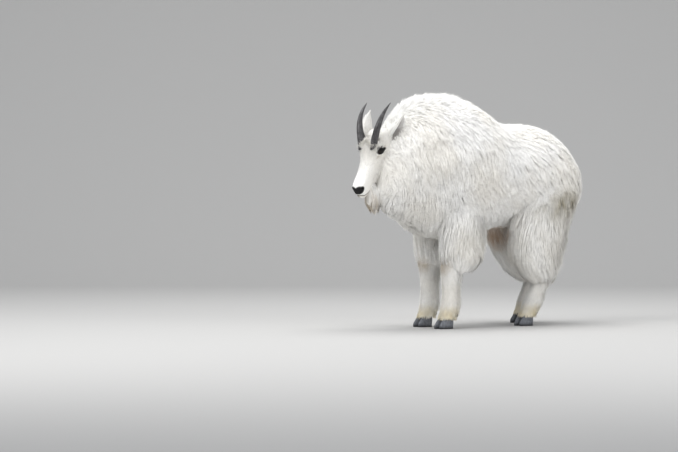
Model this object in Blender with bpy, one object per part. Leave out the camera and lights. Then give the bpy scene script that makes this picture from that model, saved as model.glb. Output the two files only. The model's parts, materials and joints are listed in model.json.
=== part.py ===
"""A mountain goat standing on level ground, its head turned a little to its left.

Metres, +Z up. The goat faces -X and its left side is towards -Y. The origin is on the ground,
below the middle of the body.
"""

import random
from math import cos, pi, radians, sin

import bmesh
import bpy
import numpy as np
from mathutils import Matrix, Vector

# Driving sizes
GAP = 0.0004  # kept between neighbouring pieces
HEAD_YAW = radians(16)  # the head's turn to the goat's left
HEAD_PITCH = radians(50)  # how far the face points below level
HORN_ROOT = Vector((-0.703, -0.050, 0.865))  # midway between the two horns
CENTRE = Vector((-0.1198, 0, 0))  # the middle of the footprint, where the origin goes
FACE_LENGTH = 0.210  # nose to horns, along the skull
BROW_HEIGHT = 0.076  # horns above the line from nose to poll
HORN_SPREAD = 0.032
HORN_RADIUS = 0.0175
EYE_RADIUS = 0.0160
LID = 0.0035  # the eyelids' thickness over the eye
EYE_TILT = radians(26)  # the slit of the eye against the line of the face
EAR_LENGTH = 0.140
EAR_LEAN = {1: (0.058, 0.034), -1: (0.036, 0.020)}  # back and out at the tip of each ear
MOUTH_LINE = 0.0022  # the gap between the lips
# the line between the lips: distance behind the nose, height
MOUTH = ((-0.034, -0.020), (-0.020, -0.030), (-0.010, -0.042), (0.010, -0.052), (0.056, -0.061))
LOCK_LENGTH = 0.200
LOCK_WIDTH = 0.118
LOCK_THICK = 0.014
TRUNK_ROWS = 7  # of locks, from the back's ridge to the belly
TRUNK_COLUMNS = 9  # of locks, from the ears to the tail
FLAT = radians(0.3)  # faces that meet flatter than this are merged
CELL_MARGIN = 0.014  # from the tips of a leg's hair to where its piece ends
TRUNK_SIDES = 14
LIMB_SIDES = 10
HEAD_SIDES = 20

# The trunk and neck out to the tips of the coat, and the coat's depth there
# x, y, top, bottom, half width, coat above, coat at the side, coat below, narrowing above
TRUNK = (
    (-0.655, -0.050, 0.880, 0.600, 0.035, 0.015, 0.010, 0.020, 0.40),
    (-0.620, -0.047, 0.935, 0.553, 0.076, 0.035, 0.025, 0.045, 0.55),
    (-0.560, -0.038, 0.998, 0.525, 0.130, 0.060, 0.045, 0.065, 0.58),
    (-0.500, -0.027, 1.042, 0.500, 0.170, 0.075, 0.055, 0.075, 0.48),
    (-0.420, -0.012, 1.073, 0.455, 0.202, 0.085, 0.055, 0.080, 0.35),
    (-0.330, -0.003, 1.089, 0.425, 0.225, 0.085, 0.055, 0.075, 0.28),
    (-0.240, 0.000, 1.087, 0.425, 0.236, 0.085, 0.050, 0.070, 0.25),
    (-0.160, 0.000, 1.074, 0.430, 0.240, 0.080, 0.050, 0.070, 0.25),
    (-0.080, 0.000, 1.045, 0.440, 0.242, 0.070, 0.050, 0.065, 0.22),
    (0.000, 0.000, 0.996, 0.450, 0.245, 0.060, 0.050, 0.060, 0.18),
    (0.060, 0.000, 0.958, 0.458, 0.247, 0.050, 0.050, 0.060, 0.15),
    (0.140, 0.000, 0.943, 0.464, 0.249, 0.050, 0.050, 0.060, 0.15),
    (0.260, 0.000, 0.941, 0.468, 0.250, 0.050, 0.050, 0.060, 0.15),
    (0.350, 0.000, 0.921, 0.474, 0.243, 0.050, 0.050, 0.060, 0.15),
    (0.420, 0.000, 0.876, 0.486, 0.222, 0.050, 0.050, 0.060, 0.15),
    (0.470, 0.000, 0.815, 0.505, 0.185, 0.050, 0.050, 0.060, 0.15),
    (0.505, 0.000, 0.740, 0.540, 0.125, 0.045, 0.040, 0.050, 0.15),
    (0.522, 0.000, 0.670, 0.600, 0.045, 0.030, 0.030, 0.030, 0.15),
)

# Each leg down to its hem of long hair, for the left side
# z, x, y, half length, half width
FORE_UPPER = (
    (0.640, -0.240, -0.120, 0.130, 0.085),
    (0.500, -0.225, -0.135, 0.120, 0.085),
    (0.400, -0.220, -0.125, 0.115, 0.080),
    (0.310, -0.218, -0.115, 0.108, 0.076),
    (0.265, -0.228, -0.110, 0.082, 0.062),
)
HIND_UPPER = (
    (0.760, 0.300, -0.130, 0.150, 0.100),
    (0.600, 0.270, -0.150, 0.185, 0.110),
    (0.480, 0.235, -0.148, 0.172, 0.104),
    (0.380, 0.220, -0.140, 0.155, 0.098),
    (0.300, 0.228, -0.130, 0.134, 0.088),
    (0.240, 0.248, -0.120, 0.112, 0.076),
    (0.205, 0.268, -0.115, 0.084, 0.060),
)
FORE_LOWER = (
    (0.340, -0.250, -0.105, 0.048, 0.044),
    (0.270, -0.258, -0.102, 0.050, 0.045),
    (0.220, -0.260, -0.100, 0.043, 0.039),
    (0.150, -0.260, -0.098, 0.041, 0.037),
    (0.105, -0.262, -0.098, 0.046, 0.042),
    (0.070, -0.272, -0.098, 0.041, 0.040),
    (0.046, -0.284, -0.098, 0.041, 0.041),
)
HIND_LOWER = (
    (0.330, 0.285, -0.115, 0.060, 0.044),
    (0.270, 0.298, -0.113, 0.058, 0.043),
    (0.215, 0.278, -0.111, 0.046, 0.039),
    (0.150, 0.246, -0.109, 0.042, 0.037),
    (0.105, 0.226, -0.108, 0.047, 0.041),
    (0.070, 0.207, -0.108, 0.041, 0.039),
    (0.046, 0.190, -0.108, 0.040, 0.040),
)
STILL = ((0.0, 0.0), (1.0, 0.0))  # no step at any height
# The side each leg is on, 1 for the left, and how far back it stands: height, step
LEGS = {
    "fore_left": (1, STILL),
    "fore_right": (-1, ((0.0, 0.035), (1.0, 0.035))),
    "hind_left": (1, STILL),
    "hind_right": (-1, ((0.0, 0.160), (0.2, 0.150), (0.4, 0.100), (0.6, 0.035), (0.8, 0.0))),
}
# Hanging hair, in level sections: z, x, y, half length, half width
BEARD = (
    (0.680, -0.705, -0.058, 0.040, 0.022),
    (0.640, -0.700, -0.060, 0.046, 0.026),
    (0.600, -0.688, -0.058, 0.045, 0.026),
    (0.565, -0.680, -0.056, 0.036, 0.020),
    (0.545, -0.676, -0.055, 0.022, 0.012),
)
TAIL = (
    (0.770, 0.478, 0.000, 0.020, 0.028),
    (0.720, 0.512, 0.000, 0.022, 0.034),
    (0.660, 0.535, 0.000, 0.020, 0.036),
    (0.600, 0.545, 0.000, 0.016, 0.028),
    (0.560, 0.545, 0.000, 0.008, 0.012),
)

# The head from the nose back: distance, top, bottom, half width, narrowing above and below
HEAD = (
    (-0.026, 0.006, -0.036, 0.014, 0.10, 0.10),
    (-0.014, 0.021, -0.056, 0.026, 0.15, 0.20),
    (0.006, 0.027, -0.069, 0.032, 0.20, 0.25),
    (0.040, 0.030, -0.074, 0.035, 0.25, 0.25),
    (0.080, 0.035, -0.073, 0.037, 0.30, 0.30),
    (0.120, 0.043, -0.075, 0.042, 0.30, 0.35),
    (0.155, 0.055, -0.079, 0.050, 0.25, 0.35),
    (0.182, 0.066, -0.085, 0.058, 0.20, 0.35),
    (0.212, 0.077, -0.092, 0.064, 0.20, 0.35),
    (0.242, 0.076, -0.098, 0.068, 0.25, 0.35),
    (0.272, 0.066, -0.102, 0.068, 0.25, 0.30),
    (0.300, 0.050, -0.098, 0.062, 0.20, 0.25),
    (0.322, 0.020, -0.075, 0.044, 0.10, 0.10),
)


def through(table, x):
    """A smooth curve through a table's rows, read at x. The first column is the position."""
    table = np.asarray(table, float)
    at = table[:, 0]
    slope = np.gradient(table, at, axis=0)
    i = int(np.clip(np.searchsorted(at, x) - 1, 0, len(at) - 2))
    step = at[i + 1] - at[i]
    t = (x - at[i]) / step
    near = (2 * t**3 - 3 * t**2 + 1) * table[i] + (t**3 - 2 * t**2 + t) * step * slope[i]
    far = (3 * t**2 - 2 * t**3) * table[i + 1] + (t**3 - t**2) * step * slope[i + 1]
    return near + far


def rounded(value, power):
    """A cosine or sine bent towards a squarer or a rounder section."""
    return np.sign(value) * np.abs(value) ** (2 / power)


def trunk_point(x, turn, coat, extra=0.0):
    """A point of the trunk at x and at a turn round it, 0 towards +Y and a quarter on top.

    coat runs from 0 at the skin to 1 at the tips of the hair.
    """
    _, y, top, bottom, wide, above, beside, below, narrow = through(TRUNK, x)
    left_out = 1 - coat
    top = top - left_out * above + extra
    bottom = bottom + left_out * below - extra
    wide = wide - left_out * beside + extra
    middle = bottom + 0.46 * (top - bottom)
    rise = np.where(np.sin(turn) > 0, top - middle, middle - bottom)
    pinch = 1 - narrow * np.clip(np.sin(turn), 0, 1) ** 2
    across = y + wide * rounded(np.cos(turn), 2.1) * pinch
    return np.stack([np.full_like(across, x), across, middle + rise * rounded(np.sin(turn), 2.1)], axis=-1)


def limb_point(table, side, steps, z, turn, extra=0.0):
    """A point of a leg, or of hanging hair, at a height and at a turn round it, 0 at the back."""
    _, x, y, long, wide = through(np.array(table)[::-1], z)
    step = np.interp(z, *np.array(steps).T)
    along = x + step + (long + extra) * np.cos(turn)
    return np.stack([along, side * y + (wide + extra) * np.sin(turn), np.full_like(along, z)], axis=-1)


def head_ring(distance, grow=0.0):
    """The head's section at a distance behind the nose, in the head's own axes."""
    _, top, bottom, wide, above, below = through(HEAD, distance)
    turn = np.linspace(0, 2 * pi, HEAD_SIDES, endpoint=False)
    up = np.sin(turn)
    rise = np.where(up > 0, top + grow, grow - bottom)
    pinch = 1 - above * np.clip(up, 0, 1) ** 2 - below * np.clip(-up, 0, 1) ** 2
    return np.stack(
        [
            np.full(HEAD_SIDES, -distance),
            (wide + grow) * rounded(np.cos(turn), 2.2) * pinch,
            rise * rounded(up, 2.2),
        ],
        axis=1,
    )


def head_matrix():
    """The head's axes: x out of the nose, y to the goat's left, z out of the forehead."""
    level = Vector((-cos(HEAD_YAW), -sin(HEAD_YAW), 0))
    forward = level * cos(HEAD_PITCH) - Vector((0, 0, sin(HEAD_PITCH)))
    left = Vector((sin(HEAD_YAW), -cos(HEAD_YAW), 0))
    up = forward.cross(left)
    nose = HORN_ROOT + FACE_LENGTH * forward - BROW_HEIGHT * up
    turn = Matrix((forward, left, up)).transposed().to_4x4()
    return Matrix.Translation(nose) @ turn


def loft(rings, matrix=None, folded=False):
    """A closed mesh through rings of points. Each end is a fan, or a strip on a folded ring."""
    mesh = bpy.data.meshes.new("loft")
    work = bmesh.new()
    rows = [[work.verts.new(point) for point in ring] for ring in rings]
    sides = len(rows[0])
    for low, high in zip(rows, rows[1:]):
        for i in range(sides):
            j = (i + 1) % sides
            work.faces.new((low[i], low[j], high[j], high[i]))
    for row in (rows[0], rows[-1]):
        if folded:
            for i in range(sides // 2 - 1):
                work.faces.new((row[i], row[i + 1], row[-2 - i], row[-1 - i]))
            continue
        centre = work.verts.new(sum((v.co for v in row), Vector()) / sides)
        for i in range(sides):
            work.faces.new((row[i], row[(i + 1) % sides], centre))
    if matrix is not None:
        bmesh.ops.transform(work, matrix=matrix, verts=work.verts)
    bmesh.ops.recalc_face_normals(work, faces=work.faces)
    bmesh.ops.triangulate(work, faces=work.faces)
    work.to_mesh(mesh)
    work.free()
    return mesh


def box(low, high):
    """A closed box between two corners."""
    mesh = bpy.data.meshes.new("box")
    work = bmesh.new()
    bmesh.ops.create_cube(work, size=1)
    low, high = Vector(low), Vector(high)
    for vert in work.verts:
        vert.co = (low + high) / 2 + Vector(a * b for a, b in zip(vert.co, high - low))
    bmesh.ops.triangulate(work, faces=work.faces)
    work.to_mesh(mesh)
    work.free()
    return mesh


def ball(centre, radius, segments, rings):
    """A closed ball."""
    mesh = bpy.data.meshes.new("ball")
    work = bmesh.new()
    bmesh.ops.create_uvsphere(work, u_segments=segments, v_segments=rings, radius=radius)
    bmesh.ops.translate(work, vec=centre, verts=work.verts)
    bmesh.ops.triangulate(work, faces=work.faces)
    work.to_mesh(mesh)
    work.free()
    return mesh


def joined(mesh, others, operation, solver="EXACT"):
    """A mesh after one Boolean with several closed meshes."""
    if not others:
        return mesh
    helpers = bpy.data.collections.new("helpers")
    bpy.context.scene.collection.children.link(helpers)
    for other in others:
        helpers.objects.link(bpy.data.objects.new("helper", other))
    base = bpy.data.objects.new("base", mesh)
    bpy.context.scene.collection.objects.link(base)
    boolean = base.modifiers.new("join", "BOOLEAN")
    boolean.operation = operation
    boolean.solver = solver
    boolean.operand_type = "COLLECTION"
    boolean.collection = helpers
    bpy.context.view_layer.update()
    graph = bpy.context.evaluated_depsgraph_get()
    made = bpy.data.meshes.new_from_object(base.evaluated_get(graph))
    for helper in [*helpers.objects, base]:
        bpy.data.objects.remove(helper)
    bpy.data.collections.remove(helpers)
    return made


def grown(mesh, by=GAP):
    """A copy of a mesh with its faces moved outwards."""
    work = bmesh.new()
    work.from_mesh(mesh)
    work.normal_update()
    moves = [vert.normal * by * min(vert.calc_shell_factor(), 3) for vert in work.verts]
    for vert, move in zip(work.verts, moves):
        vert.co += move
    copy = bpy.data.meshes.new("grown")
    work.to_mesh(copy)
    work.free()
    return copy


def largest(mesh, flat=0.0):
    """The largest closed surface of a mesh, which drops loose scraps.

    flat is the angle under which neighbouring faces are merged first.
    """
    work = bmesh.new()
    work.from_mesh(mesh)
    left = set(work.verts)
    groups = []
    while left:
        edge = [left.pop()]
        group = set(edge)
        while edge:
            vert = edge.pop()
            for link in vert.link_edges:
                other = link.other_vert(vert)
                if other in left:
                    left.remove(other)
                    group.add(other)
                    edge.append(other)
        groups.append(group)
    groups.sort(key=len)
    for group in groups[:-1]:
        bmesh.ops.delete(work, geom=list(group), context="VERTS")
    if flat:
        merged = work.copy()
        bmesh.ops.dissolve_limit(merged, angle_limit=flat, verts=merged.verts, edges=merged.edges)
        bmesh.ops.triangulate(merged, faces=merged.faces)
        closed = all(edge.is_manifold for edge in merged.edges)
        if closed and abs(merged.calc_volume() / work.calc_volume() - 1) < 0.001:
            work, merged = merged, work
        merged.free()
    bmesh.ops.triangulate(work, faces=work.faces)
    work.to_mesh(mesh)
    work.free()
    return mesh


def finish_of(name, colour, roughness):
    """A plain surface finish."""
    material = bpy.data.materials.get(name) or bpy.data.materials.new(name)
    material.use_nodes = True
    shader = material.node_tree.nodes["Principled BSDF"]
    shader.inputs["Base Color"].default_value = (*colour, 1)
    shader.inputs["Roughness"].default_value = roughness
    shader.inputs["Metallic"].default_value = 0
    return material


def node(name, mesh, finish):
    """Adds one named piece of the goat."""
    mesh.name = name
    mesh.transform(Matrix.Translation(-CENTRE))
    mesh.materials.clear()
    mesh.materials.append(finish_of(*finish))
    mesh.shade_smooth()
    mesh.set_sharp_from_angle(angle=radians(35))
    thing = bpy.data.objects.new(name, mesh)
    bpy.context.scene.collection.objects.link(thing)
    return thing


EYE_PLACE = {side: Vector((-0.186, side * 0.0415, 0.029)) for side in (1, -1)}
TRUNK_CUTS = {
    "neck": (-0.80, -0.45),
    "shoulders": (-0.45, -0.04),
    "barrel": (-0.04, 0.16),
    "rump": (0.16, 0.70),
}

COAT = ("white winter coat", (0.86, 0.85, 0.82), 0.85)
HORN = ("black horn", (0.03, 0.03, 0.03), 0.35)
EYE = ("dark eye", (0.03, 0.02, 0.015), 0.08)
HOOF = ("grey-black hoof", (0.10, 0.10, 0.11), 0.5)


def trunk_mesh(coat, extra=0.0):
    stations = np.concatenate([np.linspace(TRUNK[0][0], 0.36, 9), (0.44, 0.49, TRUNK[-1][0])])
    turns = np.linspace(0, 2 * pi, TRUNK_SIDES, endpoint=False)
    return loft([trunk_point(x, turns, coat, extra) for x in stations])


def limb_mesh(table, levels, side=1, steps=STILL, extra=0.0, raised=0.0):
    """A leg, or hanging hair, through level sections. raised lifts its lower end."""
    heights = np.linspace(table[-1][0] + raised, table[0][0], levels)
    turns = np.linspace(0, 2 * pi, LIMB_SIDES, endpoint=False)
    return loft([limb_point(table, side, steps, z, turns, extra) for z in heights])


def lock(path, outward, width, thick):
    """A flat lock of hair that tapers to a tip, with a low ridge along its back."""
    path = [Vector(point) for point in path]
    mesh = bpy.data.meshes.new("lock")
    work = bmesh.new()
    rows = []
    for i, point in enumerate(path[:-1]):
        along = (path[i + 1] - path[max(i - 1, 0)]).normalized()
        normal = Vector(outward[i])
        normal = (normal - along * normal.dot(along)).normalized()
        aside = along.cross(normal) * width * (0.80, 1.0)[i] / 2
        depth = thick * (1.0, 0.9)[i]
        ring = (point - aside, point + aside, point + normal * depth)
        rows.append([work.verts.new(corner) for corner in ring])
    for low, high in zip(rows, rows[1:]):
        for i in range(3):
            j = (i + 1) % 3
            work.faces.new((low[i], low[j], high[j], high[i]))
    tip = work.verts.new(path[-1])
    for i in range(3):
        work.faces.new((rows[-1][i], rows[-1][(i + 1) % 3], tip))
    work.faces.new(rows[0])
    bmesh.ops.recalc_face_normals(work, faces=work.faces)
    bmesh.ops.triangulate(work, faces=work.faces)
    work.to_mesh(mesh)
    work.free()
    return mesh


LOCK_STEPS = (0.0, 0.55, 1.0)  # shares of a lock's length


def trunk_locks(chance):
    """Locks in staggered rows from the ridge of the back down to the belly."""
    made = []
    for side in (1, -1):
        for row in range(TRUNK_ROWS):
            for column in range(TRUNK_COLUMNS):
                if row == 0 and side < 0:
                    continue
                share = (column + 0.5 * (row % 2) + chance.uniform(-0.12, 0.12)) / (TRUNK_COLUMNS - 0.5)
                x = -0.610 + 1.060 * share
                down = pi * (0.11 + 0.75 * (row - 1 + chance.uniform(-0.12, 0.12)) / (TRUNK_ROWS - 2))
                if row == 0:
                    down = chance.uniform(-0.03, 0.03)
                # down the flank, swept back on top and over the haunch, straighter at the neck
                lean = np.interp(down, (0.0, 0.3, 0.7, 1.6, 3.0), (1.55, 1.15, 0.70, 0.42, 0.70))
                lean *= np.interp(x, (-0.62, -0.45, -0.2, 0.3, 0.5), (0.35, 0.6, 1.0, 1.1, 0.7))
                lean += chance.uniform(-0.12, 0.12)
                # the legs' own locks take over below the haunch and the shoulder
                root = trunk_point(x, pi / 2 - side * down, 1.0)
                over_leg = 0.56 if -0.345 < x < -0.105 else 0.66 if x > 0.09 else 0
                if root[2] < over_leg and abs(root[1]) > 0.06:
                    continue
                length = LOCK_LENGTH * chance.uniform(0.85, 1.15) * np.interp(x, (-0.62, -0.45), (0.7, 1.0))
                bend = chance.uniform(-0.25, 0.25)
                path = []
                outward = []
                past = 0
                for step, coat in zip(LOCK_STEPS, (0.25, 0.88, 1.0)):
                    # near the tail the locks turn straight down
                    slant = (lean + bend * step) * np.clip((0.52 - x) / 0.14, 0, 1)
                    x += length * (step - past) * sin(slant)
                    down += length * (step - past) * cos(slant) / (0.5 * through(TRUNK, x)[4] + 0.155)
                    past = step
                    turn = pi / 2 - side * down
                    point = trunk_point(x, turn, coat)
                    over = trunk_point(x, turn + 0.05, coat)
                    back = trunk_point(x + 0.01, turn, coat)
                    path.append(point)
                    outward.append(np.cross(over - point, back - point))
                made.append(lock(path, outward, LOCK_WIDTH * chance.uniform(0.9, 1.1), LOCK_THICK))
    return made


def leg_locks(chance, table, side, steps, rows, columns, top, bottom, length):
    """Locks that hang round an upper leg to its hem, swept a little back."""
    made = []
    for row in range(rows):
        for column in range(columns):
            turn = 2 * pi * (column + 0.5 * (row % 2) + chance.uniform(-0.15, 0.15)) / columns
            start = top + (bottom - top) * row / (rows - 1) + chance.uniform(-0.012, 0.012)
            drop = length * chance.uniform(0.85, 1.15)
            sweep = chance.uniform(-0.02, 0.05)
            path = []
            outward = []
            for step, sunk in zip(LOCK_STEPS, (0.034, 0.012, 0.002)):
                z = max(start - drop * step, table[-1][0] - 0.012)
                here = limb_point(table, side, steps, max(z, table[-1][0]), turn, -sunk)
                here = here + np.array((sweep * step, 0, min(z - table[-1][0], 0)))
                path.append(here)
                outward.append((cos(turn), sin(turn), 0.1))
            wide = 2 * pi * 0.5 * (table[1][3] + table[1][4]) / columns
            made.append(lock(path, outward, wide * chance.uniform(0.90, 1.00), 0.011))
    return made


def hanging_locks(chance, table, count, start, length):
    """Locks that hang straight from the chin or the tail."""
    made = []
    for i in range(count):
        turn = 2 * pi * (i + chance.uniform(-0.1, 0.1)) / count
        drop = length * chance.uniform(0.85, 1.1)
        path = []
        for step, sunk in zip(LOCK_STEPS, (0.016, 0.007, 0.004)):
            z = max(start - drop * step, table[-1][0] - 0.008)
            held = max(z, table[-1][0])
            sunk = min(sunk, 0.6 * through(np.array(table)[::-1], held)[4])
            here = limb_point(table, 1, STILL, held, turn, -sunk)
            path.append(here + np.array((0, 0, z - held)))
        made.append(lock(path, [(cos(turn), sin(turn), 0.1)] * 3, 0.036, 0.009))
    return made


def head_mesh(grow=0.0):
    first, last = HEAD[0][0], HEAD[-1][0]
    share = np.linspace(0, 1, 17)
    distances = first + (last - first) * share**1.15
    rings = [head_ring(d, grow) for d in distances]
    rings[0][:, 0] += grow
    rings[-1][:, 0] -= grow
    return loft(rings, head_matrix())


def horn_mesh(side):
    """A horn that rises, then sweeps back and out."""
    frame = head_matrix()
    root = frame @ Vector((0.010 - FACE_LENGTH, side * HORN_SPREAD, BROW_HEIGHT - 0.006))
    level = Vector((-cos(HEAD_YAW), -sin(HEAD_YAW), 0))
    left = Vector((sin(HEAD_YAW), -cos(HEAD_YAW), 0)) * side
    rings = []
    for share in np.linspace(0, 1, 12):
        back = 0.084 * share**2.7
        out = 0.034 * share + 0.006 * sin(pi * share)
        up = 0.182 * share ** 0.95
        centre = root + Vector((0, 0, up)) + left * out - level * back
        lean = 0.9 * share**1.2
        along = (Vector((0, 0, cos(lean))) - level * sin(lean) + left * 0.18).normalized()
        across = along.cross(level.cross(along)).normalized()
        aside = along.cross(across)
        radius = HORN_RADIUS * (1 - share**1.3) ** 0.8 + 0.0012
        turn = np.linspace(0, 2 * pi, 12, endpoint=False)
        rings.append([centre + across * radius * cos(t) + aside * radius * sin(t) for t in turn])
    return loft(rings)


def ear_mesh(side):
    """An upright leaf-shaped ear with its cup turned out to the side."""
    frame = head_matrix()
    root = frame @ Vector((-0.266, side * 0.062, 0.008))
    level = Vector((-cos(HEAD_YAW), -sin(HEAD_YAW), 0))
    left = Vector((sin(HEAD_YAW), -cos(HEAD_YAW), 0)) * side
    back, out = EAR_LEAN[side]
    along = (Vector((0, 0, 0.125)) - level * back + left * out).normalized()
    open_way = left * 0.985 - level * 0.17
    open_way = (open_way - along * open_way.dot(along)).normalized()
    across = along.cross(open_way)
    rings = []
    for share in np.linspace(0, 1, 9):
        wide = 0.029 * (sin(pi * (0.22 + 0.78 * share)) ** 0.8) + 0.002
        curl = radians(150 - 70 * share)
        centre = root + along * EAR_LENGTH * share
        radius = wide / sin(curl / 2) if curl < pi else wide
        thick = 0.004 * (1 - 0.6 * share) + 0.0008
        ring = []
        for t in np.linspace(-curl / 2, curl / 2, 7):
            depth = radius * (cos(t) - cos(curl / 2))
            ring.append(centre + across * (radius * sin(t)) - open_way * depth)
        for t in np.linspace(curl / 2, -curl / 2, 7):
            inner = radius - thick
            depth = inner * cos(t) - radius * cos(curl / 2)
            ring.append(centre + across * (inner * sin(t)) - open_way * depth)
        rings.append(ring)
    return loft(rings, folded=True)


def claw_mesh(x, y, half):
    """One half of a cloven hoof, flat below. half is 1 or -1 for the claw's side."""
    rings = []
    for z, long, wide, forward in (
        (0.000, 0.038, 0.0150, 0.000),
        (0.010, 0.039, 0.0160, -0.001),
        (0.030, 0.035, 0.0155, 0.006),
        (0.0455, 0.028, 0.0140, 0.013),
    ):
        turn = np.linspace(0, 2 * pi, 12, endpoint=False)
        narrow = 1 - 0.35 * np.clip(-np.cos(turn), 0, 1) ** 2
        rings.append(
            np.stack(
                [
                    x + forward + long * rounded(np.cos(turn), 2.4),
                    y + half * (wide + 0.0025) + wide * rounded(np.sin(turn), 2.4) * narrow,
                    np.full(12, z),
                ],
                axis=1,
            )
        )
    return loft(rings)


def dewclaw_mesh(x, y, z):
    """A small blunt claw behind the pastern, pointing down and back."""
    rings = []
    for share in (0.0, 0.35, 0.7, 1.0):
        radius = 0.0100 * (1 - share**2.5) ** 0.5 + 0.0025
        turn = np.linspace(0, 2 * pi, 8, endpoint=False)
        centre = Vector((x + 0.030 * share, y, z - 0.018 * share))
        along = Vector((0.030, 0, -0.018)).normalized()
        aside = along.cross(Vector((0, 1, 0)))
        rings.append([centre + Vector((0, radius * cos(t), 0)) + aside * radius * sin(t) for t in turn])
    return loft(rings)


def mouth_cutter():
    """A thin curved slab between the lips, kept to the outer few millimetres of the muzzle."""
    rings = []
    for distance, line in MOUTH:
        half = MOUTH_LINE / 2
        low, high = line - half, line + half
        corners = ((-0.06, low), (0.06, low), (0.06, high), (-0.06, high))
        rings.append([Vector((-distance, across, up)) for across, up in corners])
    slab = loft(rings, head_matrix())
    return joined(slab, [head_mesh(-0.006)], "DIFFERENCE")


def dressed_head():
    """The head with its lids, eye sockets, nostrils and mouth line."""
    frame = head_matrix()
    lids, openings, rooms = [], [], []
    for side in (1, -1):
        eye_at = frame @ EYE_PLACE[side]
        lids.append(ball(eye_at, EYE_RADIUS + LID, 14, 10))
        rooms.append(ball(eye_at, EYE_RADIUS + GAP, 12, 8))
        # the opening is almond-shaped, and near level when the head hangs as it does here
        opening = ball(Vector(), 1.0, 14, 8)
        opening.transform(Matrix.Diagonal((0.0175, 0.0200, 0.0100, 1.0)))
        opening.transform(Matrix.Rotation(-EYE_TILT, 4, "Y"))
        opening.transform(Matrix.Translation(EYE_PLACE[side] + Vector((0, side * 0.016, 0))))
        opening.transform(frame)
        openings.append(opening)
        nostril = ball(Vector(), 1.0, 10, 6)
        nostril.transform(Matrix.Diagonal((0.0100, 0.0080, 0.0048, 1.0)))
        nostril.transform(Matrix.Rotation(radians(-35) * side, 4, "X"))
        nostril.transform(Matrix.Translation(Vector((0.010, side * 0.0185, 0.002))))
        nostril.transform(frame)
        openings.append(nostril)
    head = joined(head_mesh(), lids, "UNION")
    return joined(head, [*openings, *rooms, mouth_cutter()], "DIFFERENCE")


def build():
    for thing in list(bpy.data.objects):
        bpy.data.objects.remove(thing)
    frame = head_matrix()

    # The head and what grows from it
    node("head", largest(dressed_head(), FLAT), COAT)
    head_room = head_mesh(GAP)
    lid_rooms = []
    upright = {}
    for name, side in (("left", 1), ("right", -1)):
        eye_at = frame @ EYE_PLACE[side]
        node(f"eye_{name}", ball(eye_at, EYE_RADIUS, 12, 8), EYE)
        lid_rooms.append(ball(eye_at, EYE_RADIUS + LID + GAP, 14, 10))
        upright[f"horn_{name}"] = (horn_mesh(side), HORN)
        upright[f"ear_{name}"] = (ear_mesh(side), COAT)
    for name, (mesh, finish) in upright.items():
        node(name, largest(joined(mesh, [head_room, *lid_rooms], "DIFFERENCE")), finish)

    # Everything under the long coat, as one body
    chance = random.Random(7)
    shanks, cells = {}, {}
    flesh = []
    for name, (side, steps) in LEGS.items():
        front = name.startswith("fore")
        upper = FORE_UPPER if front else HIND_UPPER
        lower = FORE_LOWER if front else HIND_LOWER
        shanks[name] = limb_mesh(lower, 8, side, steps)
        cells[f"{name}_upper"] = (upper, 6, side, steps)
        flesh.append(limb_mesh(upper, 5, side, steps, -0.024, 0.060))
        if front:
            flesh += leg_locks(chance, upper, side, steps, 2, 5, 0.500, 0.400, 0.170)
        else:
            flesh += leg_locks(chance, upper, side, steps, 3, 5, 0.600, 0.360, 0.190)
    cells["beard"] = (BEARD, 4, 1, STILL)
    cells["tail"] = (TAIL, 4, 1, STILL)
    flesh.append(limb_mesh(BEARD, 4, 1, STILL, -0.010, 0.030))
    flesh.append(limb_mesh(TAIL, 4, 1, STILL, -0.008, 0.050))
    flesh += hanging_locks(chance, BEARD, 5, 0.655, 0.120)
    flesh += hanging_locks(chance, TAIL, 3, 0.700, 0.150)
    flesh += trunk_locks(chance)
    body = joined(trunk_mesh(0.5), flesh, "UNION", "MANIFOLD")

    rooms = [head_room, *lid_rooms]
    rooms += [grown(mesh) for mesh, _ in upright.values()]
    for name, (side, steps) in LEGS.items():
        lower = FORE_LOWER if name.startswith("fore") else HIND_LOWER
        rooms.append(limb_mesh(lower, 8, side, steps, GAP))
    body = joined(body, rooms, "DIFFERENCE", "MANIFOLD")

    # The body is shared out: legs, beard and tail first, and the rest across its length
    for name, shape in cells.items():
        cell = limb_mesh(*shape, CELL_MARGIN)
        node(name, largest(joined(body, [cell], "INTERSECT", "MANIFOLD"), FLAT), COAT)
    cells = [limb_mesh(*shape, CELL_MARGIN + GAP) for shape in cells.values()]
    rest = joined(body, cells, "DIFFERENCE", "MANIFOLD")
    for name, (start, end) in TRUNK_CUTS.items():
        room = box((start + GAP / 2, -1, 0), (end - GAP / 2, 1, 2))
        node(name, largest(joined(rest, [room], "INTERSECT", "MANIFOLD"), FLAT), COAT)

    # The bare lower legs and the hooves
    for name, (side, steps) in LEGS.items():
        lower = FORE_LOWER if name.startswith("fore") else HIND_LOWER
        node(f"{name}_lower", shanks[name], COAT)
        foot_x = lower[-1][1] + steps[0][1] - 0.016
        foot_y = side * lower[-1][2]
        for half in (1, -1):
            where = "outer" if half * side < 0 else "inner"
            node(f"{name}_claw_{where}", claw_mesh(foot_x, foot_y, half), HOOF)
            dewclaw = dewclaw_mesh(foot_x + 0.040, foot_y + half * 0.017, 0.074)
            room = limb_mesh(lower, 8, side, steps, GAP)
            node(f"{name}_dewclaw_{where}", largest(joined(dewclaw, [room], "DIFFERENCE")), HOOF)


build()
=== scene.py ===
import json
from math import cos, pi, radians, sin

import bmesh
import bpy
import numpy as np
from mathutils import Matrix, Vector, kdtree

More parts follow.
